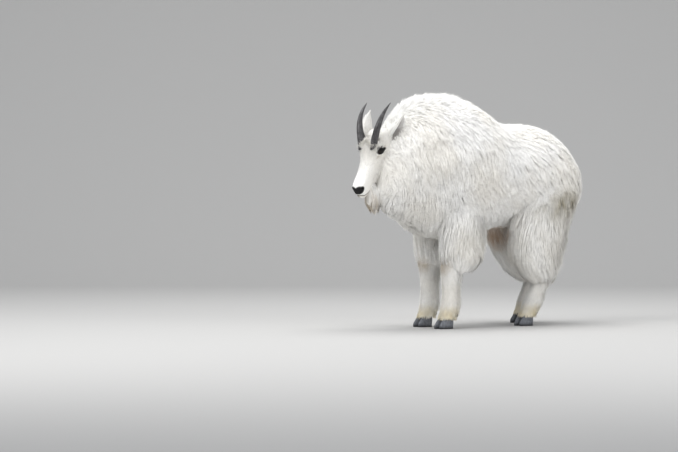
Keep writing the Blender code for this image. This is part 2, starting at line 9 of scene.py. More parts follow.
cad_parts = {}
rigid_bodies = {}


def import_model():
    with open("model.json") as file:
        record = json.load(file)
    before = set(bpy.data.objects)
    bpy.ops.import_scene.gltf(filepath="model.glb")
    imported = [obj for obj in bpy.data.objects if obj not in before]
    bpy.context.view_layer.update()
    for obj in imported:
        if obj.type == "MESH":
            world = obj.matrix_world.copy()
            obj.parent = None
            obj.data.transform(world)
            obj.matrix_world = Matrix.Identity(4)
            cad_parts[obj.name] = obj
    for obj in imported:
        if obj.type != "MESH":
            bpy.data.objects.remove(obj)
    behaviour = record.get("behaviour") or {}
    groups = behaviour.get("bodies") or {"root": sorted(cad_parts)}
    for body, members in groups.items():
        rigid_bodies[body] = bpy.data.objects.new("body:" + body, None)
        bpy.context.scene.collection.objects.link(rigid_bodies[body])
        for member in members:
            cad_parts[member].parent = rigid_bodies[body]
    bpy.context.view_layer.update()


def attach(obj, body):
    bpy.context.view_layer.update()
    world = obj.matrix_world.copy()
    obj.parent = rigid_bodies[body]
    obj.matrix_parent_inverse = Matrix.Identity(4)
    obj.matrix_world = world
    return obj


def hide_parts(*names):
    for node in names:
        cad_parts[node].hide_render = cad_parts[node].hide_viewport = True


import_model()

# Sizes of the goat, the same as its solids, in metres before it is centred
HEAD_YAW = radians(16)
HEAD_PITCH = radians(50)
EAR_LENGTH = 0.140
EAR_LEAN = {1: (0.058, 0.034), -1: (0.036, 0.020)}  # back and out at the tip of each ear
HORN_ROOT = Vector((-0.703, -0.050, 0.865))
CENTRE = Vector((-0.1198, 0, 0))  # where the frame's origin is in these tables
FACE_LENGTH = 0.210
BROW_HEIGHT = 0.076
HORN_SPREAD = 0.032
HORN_RADIUS = 0.0175
HORN_HEIGHT = 0.182
BROW_SLOPE = 1.19  # how steeply the brow falls away in front of the horns
AHEAD = np.array((-cos(HEAD_YAW), -sin(HEAD_YAW), 0))  # level, the way the face points
LEFTWARD = np.array((sin(HEAD_YAW), -cos(HEAD_YAW), 0))
EYE_RADIUS = 0.0160
LID = 0.0035
EYE_TILT = radians(26)  # the slit of the eye against the line of the face
CHIN_REACH = 0.16  # how far the chin stands out in front of the nose, a share of its depth
SKIN_LEVEL = 0.60  # share of the coat's depth that lies under the skin's surface here
HAIR_LEVEL = SKIN_LEVEL - 0.06  # where the body's hair is rooted
BODY_VOXEL, HEAD_VOXEL, EAR_VOXEL = ((0.0090, 0.0019, 0.0017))
MOST_TRIANGLES = 190000  # in one piece of the coat
VIEW_AZIMUTH = radians(-38)
PHOTO_WIDTH = 678
PHOTO_MIDDLE = 339
GOAT_MIDDLE = 480  # the column of the photo where these tables have x = 0
METRES_PER_PIXEL = 0.00465

# The trunk: x, y, top, bottom, half width, coat above, coat at the side, coat below, narrowing above
TRUNK = (
    (-0.655, -0.050, 0.880, 0.600, 0.035, 0.015, 0.010, 0.020, 0.40),
    (-0.620, -0.047, 0.935, 0.553, 0.076, 0.035, 0.025, 0.045, 0.55),
    (-0.560, -0.038, 0.998, 0.525, 0.130, 0.060, 0.045, 0.065, 0.58),
    (-0.500, -0.027, 1.042, 0.500, 0.170, 0.075, 0.055, 0.075, 0.48),
    (-0.420, -0.012, 1.073, 0.455, 0.202, 0.085, 0.055, 0.080, 0.35),
    (-0.330, -0.003, 1.089, 0.425, 0.225, 0.085, 0.055, 0.075, 0.28),
    (-0.240, 0.000, 1.087, 0.425, 0.236, 0.085, 0.050, 0.070, 0.25),
    (-0.160, 0.000, 1.074, 0.430, 0.240, 0.080, 0.050, 0.070, 0.25),
    (-0.080, 0.000, 1.045, 0.440, 0.242, 0.070, 0.050, 0.065, 0.22),
    (0.000, 0.000, 0.996, 0.450, 0.245, 0.060, 0.050, 0.060, 0.18),
    (0.060, 0.000, 0.958, 0.458, 0.247, 0.050, 0.050, 0.060, 0.15),
    (0.140, 0.000, 0.943, 0.464, 0.249, 0.050, 0.050, 0.060, 0.15),
    (0.260, 0.000, 0.941, 0.468, 0.250, 0.050, 0.050, 0.060, 0.15),
    (0.350, 0.000, 0.921, 0.474, 0.243, 0.050, 0.050, 0.060, 0.15),
    (0.420, 0.000, 0.876, 0.486, 0.222, 0.050, 0.050, 0.060, 0.15),
    (0.470, 0.000, 0.815, 0.505, 0.185, 0.050, 0.050, 0.060, 0.15),
    (0.505, 0.000, 0.740, 0.540, 0.125, 0.045, 0.040, 0.050, 0.15),
    (0.522, 0.000, 0.670, 0.600, 0.045, 0.030, 0.030, 0.030, 0.15),
)
# Level sections of each leg, for the left side: z, x, y, half length, half width
FORE_UPPER = (
    (0.640, -0.240, -0.120, 0.130, 0.085),
    (0.500, -0.225, -0.135, 0.120, 0.085),
    (0.400, -0.220, -0.125, 0.115, 0.080),
    (0.310, -0.218, -0.115, 0.108, 0.076),
    (0.265, -0.228, -0.110, 0.082, 0.062),
)
HIND_UPPER = (
    (0.760, 0.300, -0.130, 0.150, 0.100),
    (0.600, 0.270, -0.150, 0.185, 0.110),
    (0.480, 0.235, -0.148, 0.172, 0.104),
    (0.380, 0.220, -0.140, 0.155, 0.098),
    (0.300, 0.228, -0.130, 0.134, 0.088),
    (0.240, 0.248, -0.120, 0.112, 0.076),
    (0.205, 0.268, -0.115, 0.084, 0.060),
)
FORE_LOWER = (
    (0.340, -0.250, -0.105, 0.048, 0.044),
    (0.270, -0.258, -0.102, 0.050, 0.045),
    (0.220, -0.260, -0.100, 0.043, 0.039),
    (0.150, -0.260, -0.098, 0.041, 0.037),
    (0.105, -0.262, -0.098, 0.046, 0.042),
    (0.070, -0.272, -0.098, 0.041, 0.040),
    (0.046, -0.284, -0.098, 0.041, 0.041),
)
HIND_LOWER = (
    (0.330, 0.285, -0.115, 0.060, 0.044),
    (0.270, 0.298, -0.113, 0.058, 0.043),
    (0.215, 0.278, -0.111, 0.046, 0.039),
    (0.150, 0.246, -0.109, 0.042, 0.037),
    (0.105, 0.226, -0.108, 0.047, 0.041),
    (0.070, 0.207, -0.108, 0.041, 0.039),
    (0.046, 0.190, -0.108, 0.040, 0.040),
)
STILL = ((0.0, 0.0), (1.0, 0.0))
# The side each leg is on, 1 for the left, and how far back it stands: height, step
LEGS = {
    "fore_left": (1, STILL),
    "fore_right": (-1, ((0.0, 0.035), (1.0, 0.035))),
    "hind_left": (1, STILL),
    "hind_right": (-1, ((0.0, 0.160), (0.2, 0.150), (0.4, 0.100), (0.6, 0.035), (0.8, 0.0))),
}
BEARD = (
    (0.680, -0.705, -0.058, 0.040, 0.022),
    (0.640, -0.700, -0.060, 0.046, 0.026),
    (0.600, -0.688, -0.058, 0.045, 0.026),
    (0.565, -0.680, -0.056, 0.036, 0.020),
    (0.545, -0.676, -0.055, 0.022, 0.012),
)
TAIL = (
    (0.770, 0.478, 0.000, 0.020, 0.028),
    (0.720, 0.512, 0.000, 0.022, 0.034),
    (0.660, 0.535, 0.000, 0.020, 0.036),
    (0.600, 0.545, 0.000, 0.016, 0.028),
    (0.560, 0.545, 0.000, 0.008, 0.012),
)
# The head from the nose back: distance, top, bottom, half width, narrowing above and below
HEAD = (
    (-0.026, 0.006, -0.036, 0.014, 0.10, 0.10),
    (-0.014, 0.021, -0.056, 0.026, 0.15, 0.20),
    (0.006, 0.027, -0.069, 0.032, 0.20, 0.25),
    (0.040, 0.030, -0.074, 0.035, 0.25, 0.25),
    (0.080, 0.035, -0.073, 0.037, 0.30, 0.30),
    (0.120, 0.045, -0.075, 0.042, 0.30, 0.35),
    (0.155, 0.063, -0.079, 0.050, 0.25, 0.35),
    (0.182, 0.078, -0.085, 0.058, 0.20, 0.35),
    (0.212, 0.082, -0.092, 0.064, 0.20, 0.35),
    (0.242, 0.076, -0.098, 0.068, 0.25, 0.35),
    (0.272, 0.066, -0.102, 0.068, 0.25, 0.30),
    (0.300, 0.050, -0.098, 0.062, 0.20, 0.25),
    (0.322, 0.020, -0.075, 0.044, 0.10, 0.10),
)
# The line between the lips from the nose back: distance, height
MOUTH = ((-0.030, -0.022), (-0.020, -0.030), (-0.010, -0.042), (0.010, -0.052), (0.056, -0.061))


def through(table, x):
    """A smooth curve through a table's rows, read at x, which may be an array."""
    table = np.asarray(table, float)
    if table[0, 0] > table[-1, 0]:
        table = table[::-1]
    at = table[:, 0]
    slope = np.gradient(table, at, axis=0)
    x = np.asarray(x, float)
    i = np.clip(np.searchsorted(at, x) - 1, 0, len(at) - 2)
    step = (at[i + 1] - at[i])[..., None]
    t = (x - at[i])[..., None] / step
    near = (2 * t**3 - 3 * t**2 + 1) * table[i] + (t**3 - 2 * t**2 + t) * step * slope[i]
    far = (3 * t**2 - 2 * t**3) * table[i + 1] + (t**3 - t**2) * step * slope[i + 1]
    return np.moveaxis(near + far, -1, 0)


def rounded(value, power):
    return np.sign(value) * np.abs(value) ** (2 / power)


def turns_of(count):
    return np.linspace(0, 2 * pi, count, endpoint=False)


def tables_of(leg):
    """The tables of a leg's upper and lower part."""
    return (FORE_UPPER, FORE_LOWER) if leg.startswith("fore") else (HIND_UPPER, HIND_LOWER)


def trunk_section(x, coat):
    """The trunk's section at x and at a depth of its coat: y, top, bottom, width, middle, narrowing."""
    _, y, top, bottom, wide, above, beside, below, narrow = through(TRUNK, x)
    top = top - (1 - coat) * above
    bottom = bottom + (1 - coat) * below
    wide = wide - (1 - coat) * beside
    return y, top, bottom, wide, bottom + 0.46 * (top - bottom), narrow


def trunk_point(x, turn, coat):
    """Points of the trunk. coat runs from 0 at the bare body to 1 at the tips of the hair."""
    x, turn, coat = np.broadcast_arrays(np.asarray(x, float), turn, coat)
    y, top, bottom, wide, middle, narrow = trunk_section(x, coat)
    rise = np.where(np.sin(turn) > 0, top - middle, middle - bottom)
    pinch = 1 - narrow * np.clip(np.sin(turn), 0, 1) ** 2
    across = y + wide * rounded(np.cos(turn), 2.1) * pinch
    return np.stack([x, across, middle + rise * rounded(np.sin(turn), 2.1)], axis=-1)


def limb_point(table, side, steps, z, turn, extra=0.0):
    """Points of a leg, or of hanging hair, at a height and at a turn round it, 0 at the back."""
    z, turn, extra = np.broadcast_arrays(np.asarray(z, float), turn, extra)
    held = np.clip(z, table[-1][0], table[0][0])
    _, x, y, long, wide = through(table, held)
    step = np.interp(z, *np.array(steps).T)
    along = x + step + (long + extra) * np.cos(turn)
    return np.stack([along, side * y + (wide + extra) * np.sin(turn), z], axis=-1)


def chin_slant(distance):
    """How much further forward the lips and the chin reach than the nose, a share of their depth."""
    return CHIN_REACH * np.clip((0.075 - distance) / 0.10, 0, 1)


def head_point(distance, turn, extra=0.0):
    """Points of the head in its own axes: out of the nose, to its left, out of the forehead."""
    distance, turn, extra = np.broadcast_arrays(np.asarray(distance, float), turn, extra)
    _, top, bottom, wide, above, below = through(HEAD, distance)
    up = np.sin(turn)
    rise = np.where(up > 0, top + extra, extra - bottom)
    pinch = 1 - above * np.clip(up, 0, 1) ** 2 - below * np.clip(-up, 0, 1) ** 2
    height = rise * rounded(up, 2.2)
    across = (wide + extra) * rounded(np.cos(turn), 2.2) * pinch
    return np.stack([-distance - chin_slant(distance) * height, across, height], axis=-1)


def head_matrix():
    forward = Vector(AHEAD) * cos(HEAD_PITCH) - Vector((0, 0, sin(HEAD_PITCH)))
    left = Vector(LEFTWARD)
    up = forward.cross(left)
    nose = HORN_ROOT + FACE_LENGTH * forward - BROW_HEIGHT * up
    turn = Matrix((forward, left, up)).transposed().to_4x4()
    return Matrix.Translation(nose) @ turn


HEAD_AXES = head_matrix()
HEAD_TURN = np.array(HEAD_AXES.to_3x3())
HEAD_AT = np.array(HEAD_AXES.translation)
EYE_PLACE = {side: Vector((-0.186, side * 0.0415, 0.029)) for side in (1, -1)}


def from_head(points):
    return points @ HEAD_TURN.T + HEAD_AT


def to_head(points):
    return (points - HEAD_AT) @ HEAD_TURN


def eye_axes(local, which):
    """Places along and across the slit of an eye, and outward from its centre."""
    off = local - np.array(EYE_PLACE[which])
    along = off[..., 0] * cos(EYE_TILT) + off[..., 2] * sin(EYE_TILT)
    over = -off[..., 0] * sin(EYE_TILT) + off[..., 2] * cos(EYE_TILT)
    return along, over, off[..., 1] * which


# Colours


def linear(code):
    """The linear colour of an sRGB hex value."""
    values = [int(code[i : i + 2], 16) / 255 for i in (1, 3, 5)]
    return tuple(v / 12.92 if v <= 0.04045 else ((v + 0.055) / 1.055) ** 2.4 for v in values)


WHITE = np.array(linear("#F7F6F3"))
CREAM = np.array(linear("#EFE7D6"))
FLANK_GREY_BROWN = np.array(linear("#A39A82"))
RUST = np.array(linear("#AD7C45"))
YELLOWED = np.array(linear("#E2D3A9"))
EARTH = np.array(linear("#A08A68"))
DUN = np.array(linear("#B7AA96"))
SLATE = np.array(linear("#1B1A1B"))
EAR_CUP_SHADE = np.array(linear("#625A58"))


def blob(points, centre, size):
    """1 at a centre, fading to 0 at the given distances from it."""
    far = (((points - np.array(centre)) / np.array(size)) ** 2).sum(axis=-1)
    return np.clip(1 - far, 0, 1) ** 1.2


def ripple(points, scale, seed=0):
    """A soft pattern that wanders between -1 and 1, for uneven hair and stains."""
    rng = np.random.default_rng(100 + seed)
    total = np.zeros(points.shape[:-1])
    for octave in range(3):
        way = rng.normal(size=(3, 3))
        shift = rng.uniform(0, 6.28, 3)
        waves = np.sin(points @ (way * scale * 1.9**octave) + shift)
        total += waves.prod(axis=-1) * 0.55**octave * 1.6
    return np.clip(total, -1, 1)


def blend(colour, other, share):
    share = np.clip(share, 0, 1)[..., None]
    return colour * (1 - share) + other * share


def mouth_height(distance):
    """The line between the lips, in the head's axes."""
    return np.interp(distance, *np.array(MOUTH).T)


def coat_colour(points):
    """The goat's white, its stains and patches, and painted shade on its beard, at points of its skin or its
    hair.
    """
    colour = np.broadcast_to(WHITE, points.shape).copy()
    rough = ripple(points, 22, 1)
    colour = blend(colour, CREAM, 0.16 + 0.16 * ripple(points, 6, 2))
    height = points[..., 2]
    colour = blend(colour, YELLOWED, (0.6 + 0.3 * rough) * np.clip((0.115 - height) / 0.06, 0, 1))
    # a grey-brown patch high on both rear flanks, strongest on the left
    flank = blob(points, (0.305, -0.205, 0.595), (0.12, 0.12, 0.085))
    flank = np.maximum(flank, 0.55 * blob(points, (0.235, -0.220, 0.555), (0.11, 0.10, 0.075)))
    flank = np.maximum(flank, 0.6 * blob(points, (0.36, 0.19, 0.56), (0.10, 0.10, 0.07)))
    colour = blend(colour, FLANK_GREY_BROWN, (0.75 + 0.35 * rough) * flank)
    belly = blob(points, (0.085, 0.000, 0.440), (0.12, 0.15, 0.060))
    belly = np.maximum(belly, blob(points, (0.165, 0.095, 0.425), (0.085, 0.10, 0.085)))
    colour = blend(colour, RUST, (0.80 + 0.3 * rough) * belly)
    for x, y in ((-0.300, -0.100), (-0.262, 0.100)):
        knee = blob(points, (x, y, 0.296), (0.040, 0.055, 0.050))
        colour = blend(colour, EARTH, (0.55 + 0.3 * rough) * knee)
    # the beard's grey-brown is partly a stain and partly painted shade under the chin
    beard = blob(points, (-0.690, -0.058, 0.560), (0.075, 0.05, 0.085))
    colour = blend(colour, DUN, (0.75 + 0.4 * ripple(points, 60, 3)) * beard)
    # the bare nose, the line of the lips and the eyelids' edges
    local = to_head(points)
    away = -local[..., 0] - chin_slant(-local[..., 0]) * local[..., 2]
    side = np.abs(local[..., 1])
    up = local[..., 2]
    near = np.clip((0.34 - np.abs(local[..., 0])) / 0.02, 0, 1)
    pad = ((away + 0.012) / 0.024) ** 2 + ((side - 0.011) / 0.020) ** 2 + ((up + 0.003) / 0.017) ** 2
    colour = blend(colour, SLATE, near * np.clip((1.35 - pad) * 3.2, 0, 1))
    cleft = (side < 0.0025) & (up < 0.0) & (up > -0.040) & (away < 0.0)
    colour = blend(colour, SLATE, 0.9 * cleft * near)
    gap = np.abs(up - mouth_height(away))
    lips = np.clip(1.5 - gap / 0.0024, 0, 1) * (away < 0.068) * (away > -0.06)
    colour = blend(colour, SLATE, 0.92 * lips * near)
    chin = np.clip(1.3 - gap / 0.012, 0, 1) * (away < 0.05) * (up < mouth_height(away)) * 0.35
    colour = blend(colour, DUN, chin * near)
    for which in (1, -1):
        along, over, out = eye_axes(local, which)
        ring = (along / 0.0180) ** 2 + (over / 0.0132) ** 2
        rim = np.clip((1.35 - ring) * 4, 0, 1) * (np.abs(out) < 0.03)
        colour = blend(colour, SLATE, rim)
        tear = blob(local, (-0.158, which * 0.048, 0.020), (0.016, 0.014, 0.007))
        colour = blend(colour, DUN, 0.5 * tear)
    return np.clip(colour, 0, 1)


# Mesh tools


def loft(rings, folded=False):
    """A closed mesh through rings of points. Each end is a fan, or a strip on a folded ring."""
    rings = np.asarray(rings, float)
    count, sides = rings.shape[:2]
    points = list(map(tuple, rings.reshape(-1, 3)))
    faces = []
    for row in range(count - 1):
        for i in range(sides):
            j = (i + 1) % sides
            low, high = row * sides, (row + 1) * sides
            faces.append((low + i, low + j, high + j, high + i))
    for row in (0, count - 1):
        low = row * sides
        if folded:
            half = range(sides // 2 - 1)
            faces += [(low + i, low + i + 1, low + sides - 2 - i, low + sides - 1 - i) for i in half]
        else:
            points.append(tuple(rings[row].mean(axis=0)))
            faces += [(low + i, low + (i + 1) % sides, len(points) - 1) for i in range(sides)]
    mesh = bpy.data.meshes.new("loft")
    mesh.from_pydata(points, [], faces)
    work = bmesh.new()
    work.from_mesh(mesh)
    bmesh.ops.recalc_face_normals(work, faces=work.faces)
    work.to_mesh(mesh)
    work.free()
    return mesh


def ball(centre, size, turn=None, detail=24):
    """A closed ball or egg with its half sizes."""
    mesh = bpy.data.meshes.new("ball")
    work = bmesh.new()
    bmesh.ops.create_uvsphere(work, u_segments=detail, v_segments=detail * 2 // 3, radius=1)
    place = Matrix.Translation(Vector(centre)) @ (turn or Matrix()) @ Matrix.Diagonal((*size, 1))
    bmesh.ops.transform(work, matrix=place, verts=work.verts)
    work.to_mesh(mesh)
    work.free()
    return mesh


def evaluated(obj):
    bpy.context.view_layer.update()
    graph = bpy.context.evaluated_depsgraph_get()
    made = bpy.data.meshes.new_from_object(obj.evaluated_get(graph))
    bpy.data.objects.remove(obj)
    return made


def placed(name, mesh):
    obj = bpy.data.objects.new(name, mesh)
    bpy.context.scene.collection.objects.link(obj)
    return obj


def joined(mesh, others, operation, solver="MANIFOLD"):
    """A mesh after one Boolean with several closed meshes."""
    helpers = bpy.data.collections.new("helpers")
    bpy.context.scene.collection.children.link(helpers)
    for other in others:
        helpers.objects.link(bpy.data.objects.new("helper", other))
    base = placed("base", mesh)
    boolean = base.modifiers.new("join", "BOOLEAN")
    boolean.operation = operation
    boolean.solver = solver
    boolean.operand_type = "COLLECTION"
    boolean.collection = helpers
    made = evaluated(base)
    for helper in list(helpers.objects):
        bpy.data.objects.remove(helper)
    bpy.data.collections.remove(helpers)
    return made


def together(meshes):
    """Several meshes in one, not fused."""
    work = bmesh.new()
    for mesh in meshes:
        work.from_mesh(mesh)
    made = bpy.data.meshes.new("together")
    work.to_mesh(made)
    work.free()
    return made


def remeshed(mesh, voxel, smoothing):
    """One even surface round closed meshes, softened where they join."""
    obj = placed("even", mesh)
    even = obj.modifiers.new("even", "REMESH")
    even.mode = "VOXEL"
    even.voxel_size = voxel
    soft = obj.modifiers.new("soft", "SMOOTH")
    soft.factor = 0.5
    soft.iterations = smoothing
    return evaluated(obj)


# The skin


def limb_mesh(table, levels, side, steps, extra=0.0, raised=0.0, sides=40):
    heights = np.linspace(table[-1][0] + raised, table[0][0], levels)
    turns = turns_of(sides)
    return loft([limb_point(table, side, steps, z, turns, extra) for z in heights])


def trunk_mesh():
    share = np.linspace(0, 1, 110)
    stations = TRUNK[0][0] + (TRUNK[-1][0] - TRUNK[0][0]) * share
    turns = turns_of(80)
    return loft([trunk_point(x, turns, SKIN_LEVEL) for x in stations])


def head_mesh(extra=0.0, rows=90, sides=80):
    share = np.linspace(0, 1, rows)
    distances = HEAD[0][0] + (HEAD[-1][0] - HEAD[0][0]) * share**1.1
    turns = turns_of(sides)
    return loft([from_head(head_point(d, turns, extra)) for d in distances])


def mouth_cutter():
    """A thin curved slab between the lips, kept to the outer few millimetres of the muzzle."""
    rings = []
    for share in np.linspace(0, 1, 24):
        distance = -0.060 + 0.128 * share
        line = mouth_height(distance)
        half = 0.0017 * (1 if share < 0.9 else (1 - share) / 0.1 * 0.9 + 0.1)
        ahead = -distance - chin_slant(distance) * line
        corners = ((-0.06, line - half), (0.06, line - half), (0.06, line + half), (-0.06, line + half))
        rings.append([from_head(np.array((ahead, across, up))) for across, up in corners])
    return joined(loft(rings), [head_mesh(-0.007, 40, 40)], "DIFFERENCE")


def ear_shape(side, share, turn_share):
    """A point of an ear's outer face: share along it, and turn_share -1 to 1 across it."""
    root = np.array(HEAD_AXES @ Vector((-0.266, side * 0.062, 0.008)))
    left = LEFTWARD * side
    along = np.array((0, 0, 0.125)) - AHEAD * EAR_LEAN[side][0] + left * EAR_LEAN[side][1]
    along /= np.linalg.norm(along)
    open_way = left * 0.985 - AHEAD * 0.17
    open_way = open_way - along * open_way.dot(along)
    open_way /= np.linalg.norm(open_way)
    across = np.cross(along, open_way)
    share, turn_share = np.broadcast_arrays(np.asarray(share, float), turn_share)
    wide = 0.029 * np.sin(pi * (0.22 + 0.78 * share)) ** 0.8 + 0.002
    curl = np.radians(150 - 70 * share)
    radius = wide / np.sin(curl / 2)
    angle = turn_share * curl / 2
    depth = radius * (np.cos(angle) - np.cos(curl / 2))
    curve = -0.010 * np.sin(pi * share)
    point = root + along * (EAR_LENGTH * share)[..., None] + across * (radius * np.sin(angle))[..., None]
    point = point - open_way * (depth + curve)[..., None]
    out = across * np.sin(angle)[..., None] - open_way * np.cos(angle)[..., None]
    return point, out, along


def ear_mesh(side):
    rings = []
    for share in np.linspace(0, 1, 26):
        turns = np.linspace(-1, 1, 17)
        outer, out, _ = ear_shape(side, share, turns)
        thick = 0.0042 * (1 - 0.55 * share)
        inner = outer - out * thick
        rings.append(np.concatenate([outer, inner[::-1]]))
    return loft(rings, folded=True)


def dressed_head():
    """The head with its brows, lids, eye openings, nostrils and mouth line."""
    tilt = Matrix.Rotation(-EYE_TILT, 4, "Y")
    swell, openings = [], []
    for side in (1, -1):
        place = EYE_PLACE[side]
        swell.append(ball(place, (EYE_RADIUS + LID,) * 3))
        openings.append(ball(place + Vector((0, side * 0.018, 0)), (0.0162, 0.0210, 0.0112), tilt, 32))
        turn = Matrix.Rotation(radians(30) * side, 4, "Z") @ Matrix.Rotation(radians(-40) * side, 4, "X")
        openings.append(ball((0.004, side * 0.0225, -0.001), (0.0105, 0.0085, 0.0045), turn))
        # the soft rim over each nostril
        swell.append(ball((0.003, side * 0.0175, 0.006), (0.015, 0.010, 0.008)))
    for mesh in swell + openings:
        mesh.transform(HEAD_AXES)
    head = joined(head_mesh(-0.002), swell, "UNION")
    return joined(head, [*openings, mouth_cutter()], "DIFFERENCE")


def build_skin():
    parts = [trunk_mesh()]
    for name, (side, steps) in LEGS.items():
        upper, lower = tables_of(name)
        parts.append(limb_mesh(upper, 40, side, steps, -0.020, 0.055))
        parts.append(limb_mesh(lower, 40, side, steps, -0.0035))
    parts.append(limb_mesh(BEARD, 20, 1, STILL, -0.012, 0.045))
    parts.append(limb_mesh(TAIL, 20, 1, STILL, -0.010, 0.055))
    body = remeshed(together(parts), BODY_VOXEL, 6)
    head = remeshed(dressed_head(), HEAD_VOXEL, 3)
    ears = [remeshed(ear_mesh(side), EAR_VOXEL, 2) for side in (1, -1)]
    skin = joined(body, [head, *ears], "UNION")
    count = len(skin.vertices)
    points = np.empty(count * 3, np.float32)
    skin.vertices.foreach_get("co", points)
    points = points.reshape(-1, 3).astype(float)
    colours = np.ones((count, 4), np.float32)
    colours[:, :3] = coat_colour(points)
    # painted grey shade inside the cup of each ear
    for side in (1, -1):
        colours[:, :3] = shade_ear(points, colours[:, :3], side)
    paint = skin.color_attributes.new("coat", "FLOAT_COLOR", "POINT")
    paint.data.foreach_set("color", colours.ravel())
    skin.polygons.foreach_set("use_smooth", np.ones(len(skin.polygons), bool))
    skin.transform(Matrix.Translation(-CENTRE))
    return placed("skin", skin)


def shade_ear(points, colours, side):
    """Painted grey shade inside the cup of the ear, where its hollow lies in shadow."""
    middle, out, _ = ear_shape(side, np.linspace(0.05, 0.9, 18), 0.0)
    inside = np.zeros(len(points))
    for centre, away, share in zip(middle, out, np.linspace(0.05, 0.9, 18)):
        cup = centre - away * 0.016
        size = 0.018 * sin(pi * (0.2 + 0.75 * share)) ** 0.8 + 0.002
        inside = np.maximum(inside, np.clip(1.6 - np.linalg.norm(points - cup, axis=1) / size, 0, 1))
    # the grey is painted shade in the hollow of the ear
    return blend(colours, EAR_CUP_SHADE, 0.8 * inside)


# The coat


def spread(count, seed):
    """Evenly scattered pairs between 0 and 1."""
    i = np.arange(count) + seed * 977
    return (i * 0.7548776662 + 0.31) % 1, (i * 0.5698402909 + 0.17) % 1


def thinned(weight, rng):
    """Which of some samples stay, so that they lie evenly on the surface."""
    return rng.random(len(weight)) < weight / np.quantile(weight, 0.995)


def area_weight(surface, a, b, step):
    here = surface(a, b)
    return np.linalg.norm(np.cross(surface(a + step, b) - here, surface(a, b + step) - here), axis=1)


class Tufts:
    """Paths of hair from root to tip, with the skin's outward way at each and a width."""

    def __init__(self):
        self.sets = []

    def add(self, paths, outward, width, thick, uv, pull, cell):
        # a path whose points run together, or were set to nothing, is left out
        spans = np.linalg.norm(np.diff(paths, axis=1), axis=2)
        sound = spans.min(axis=1) > np.maximum(0.25 * spans.mean(axis=1), 1e-4)
        paths, outward, width, thick, uv = (part[sound] for part in (paths, outward, width, thick, uv))
        pull = np.broadcast_to(pull, len(sound))[sound]
        outward = outward / np.linalg.norm(outward, axis=-1, keepdims=True)
        paths = clumped(paths, pull, cell)
        self.sets.append((paths, outward, width, thick, uv))


def clumped(paths, pull, cell):
    """Draws the tips of neighbouring tufts together, as hair gathers in locks."""
    rng = np.random.default_rng(5)
    order = rng.permutation(len(paths))
    roots = paths[:, 0]
    taken = set()
    tree_points = []
    for i in order:
        key = tuple((roots[i] / cell).astype(int))
        if key not in taken:
            taken.add(key)
            tree_points.append(i)
    tree = kdtree.KDTree(len(tree_points))
    for i in tree_points:
        tree.insert(roots[i], int(i))
    tree.balance()
    centre_of = np.array([tree.find(root)[1] for root in roots])
    steps = paths.shape[1]
    share = np.broadcast_to(pull, len(paths))[:, None, None] * np.linspace(0, 1, steps)[None, :, None] ** 1.3
    offset = paths[:, :1] - paths[centre_of][:, :1]
    target = paths[centre_of] + offset * 0.35
    return paths * (1 - share) + target * share


def tuft_mesh(paths, outward, width, thick, uv):
    """Closed, tapered, three-sided strands along paths (count, steps, 3)."""
    count, steps = paths.shape[:2]
    ahead = np.gradient(paths, axis=1)
    ahead /= np.linalg.norm(ahead, axis=-1, keepdims=True) + 1e-9
    normal = outward - ahead * (outward * ahead).sum(-1, keepdims=True)
    normal /= np.linalg.norm(normal, axis=-1, keepdims=True) + 1e-9
    aside = np.cross(normal, ahead)
    taper = np.interp(np.linspace(0, 1, steps), (0, 0.35, 1), (0.85, 1.0, 0.35))
    half = (width / 2)[:, None, None] * taper[None, :, None]
    ridge = thick[:, None, None] * taper[None, :, None]
    left = paths - aside * half
    right = paths + aside * half
    top = paths + normal * ridge
    rings = np.stack([left, right, top], axis=2)[:, :-1]
    corners = np.concatenate([rings.reshape(count, -1, 3), paths[:, -1:]], axis=1)
    soft = np.stack([normal - aside * 0.35, normal + aside * 0.35, normal], axis=2)[:, :-1]
    normals = np.concatenate([soft.reshape(count, -1, 3), normal[:, -1:]], axis=1)
    faces = [(0, 2, 1)]
    for ring in range(steps - 2):
        low, high = ring * 3, ring * 3 + 3
        for i in range(3):
            j = (i + 1) % 3
            faces += [(low + i, low + j, high + j), (low + i, high + j, high + i)]
    last = (steps - 2) * 3
    faces += [(last + i, last + (i + 1) % 3, last + 3) for i in range(3)]
    each = 3 * (steps - 1) + 1
    faces = np.array(faces)[None] + (np.arange(count) * each)[:, None, None]
    place = np.zeros((each, 2))
    for ring in range(steps - 1):
        for i in range(3):
            place[ring * 3 + i] = (0.0014 * (0, 1, 0.5)[i], 0.0026 * ring / (steps - 1))
    place[-1] = (0.0007, 0.0026)
    spots = uv[:, None] + place[None]
    height = np.concatenate([np.repeat(np.linspace(0, 1, steps)[:-1], 3), [1.0]])
    corners, faces, normals = (part.reshape(-1, 3) for part in (corners, faces, normals))
    return corners, faces, normals, spots.reshape(-1, 2), np.tile(height, count)


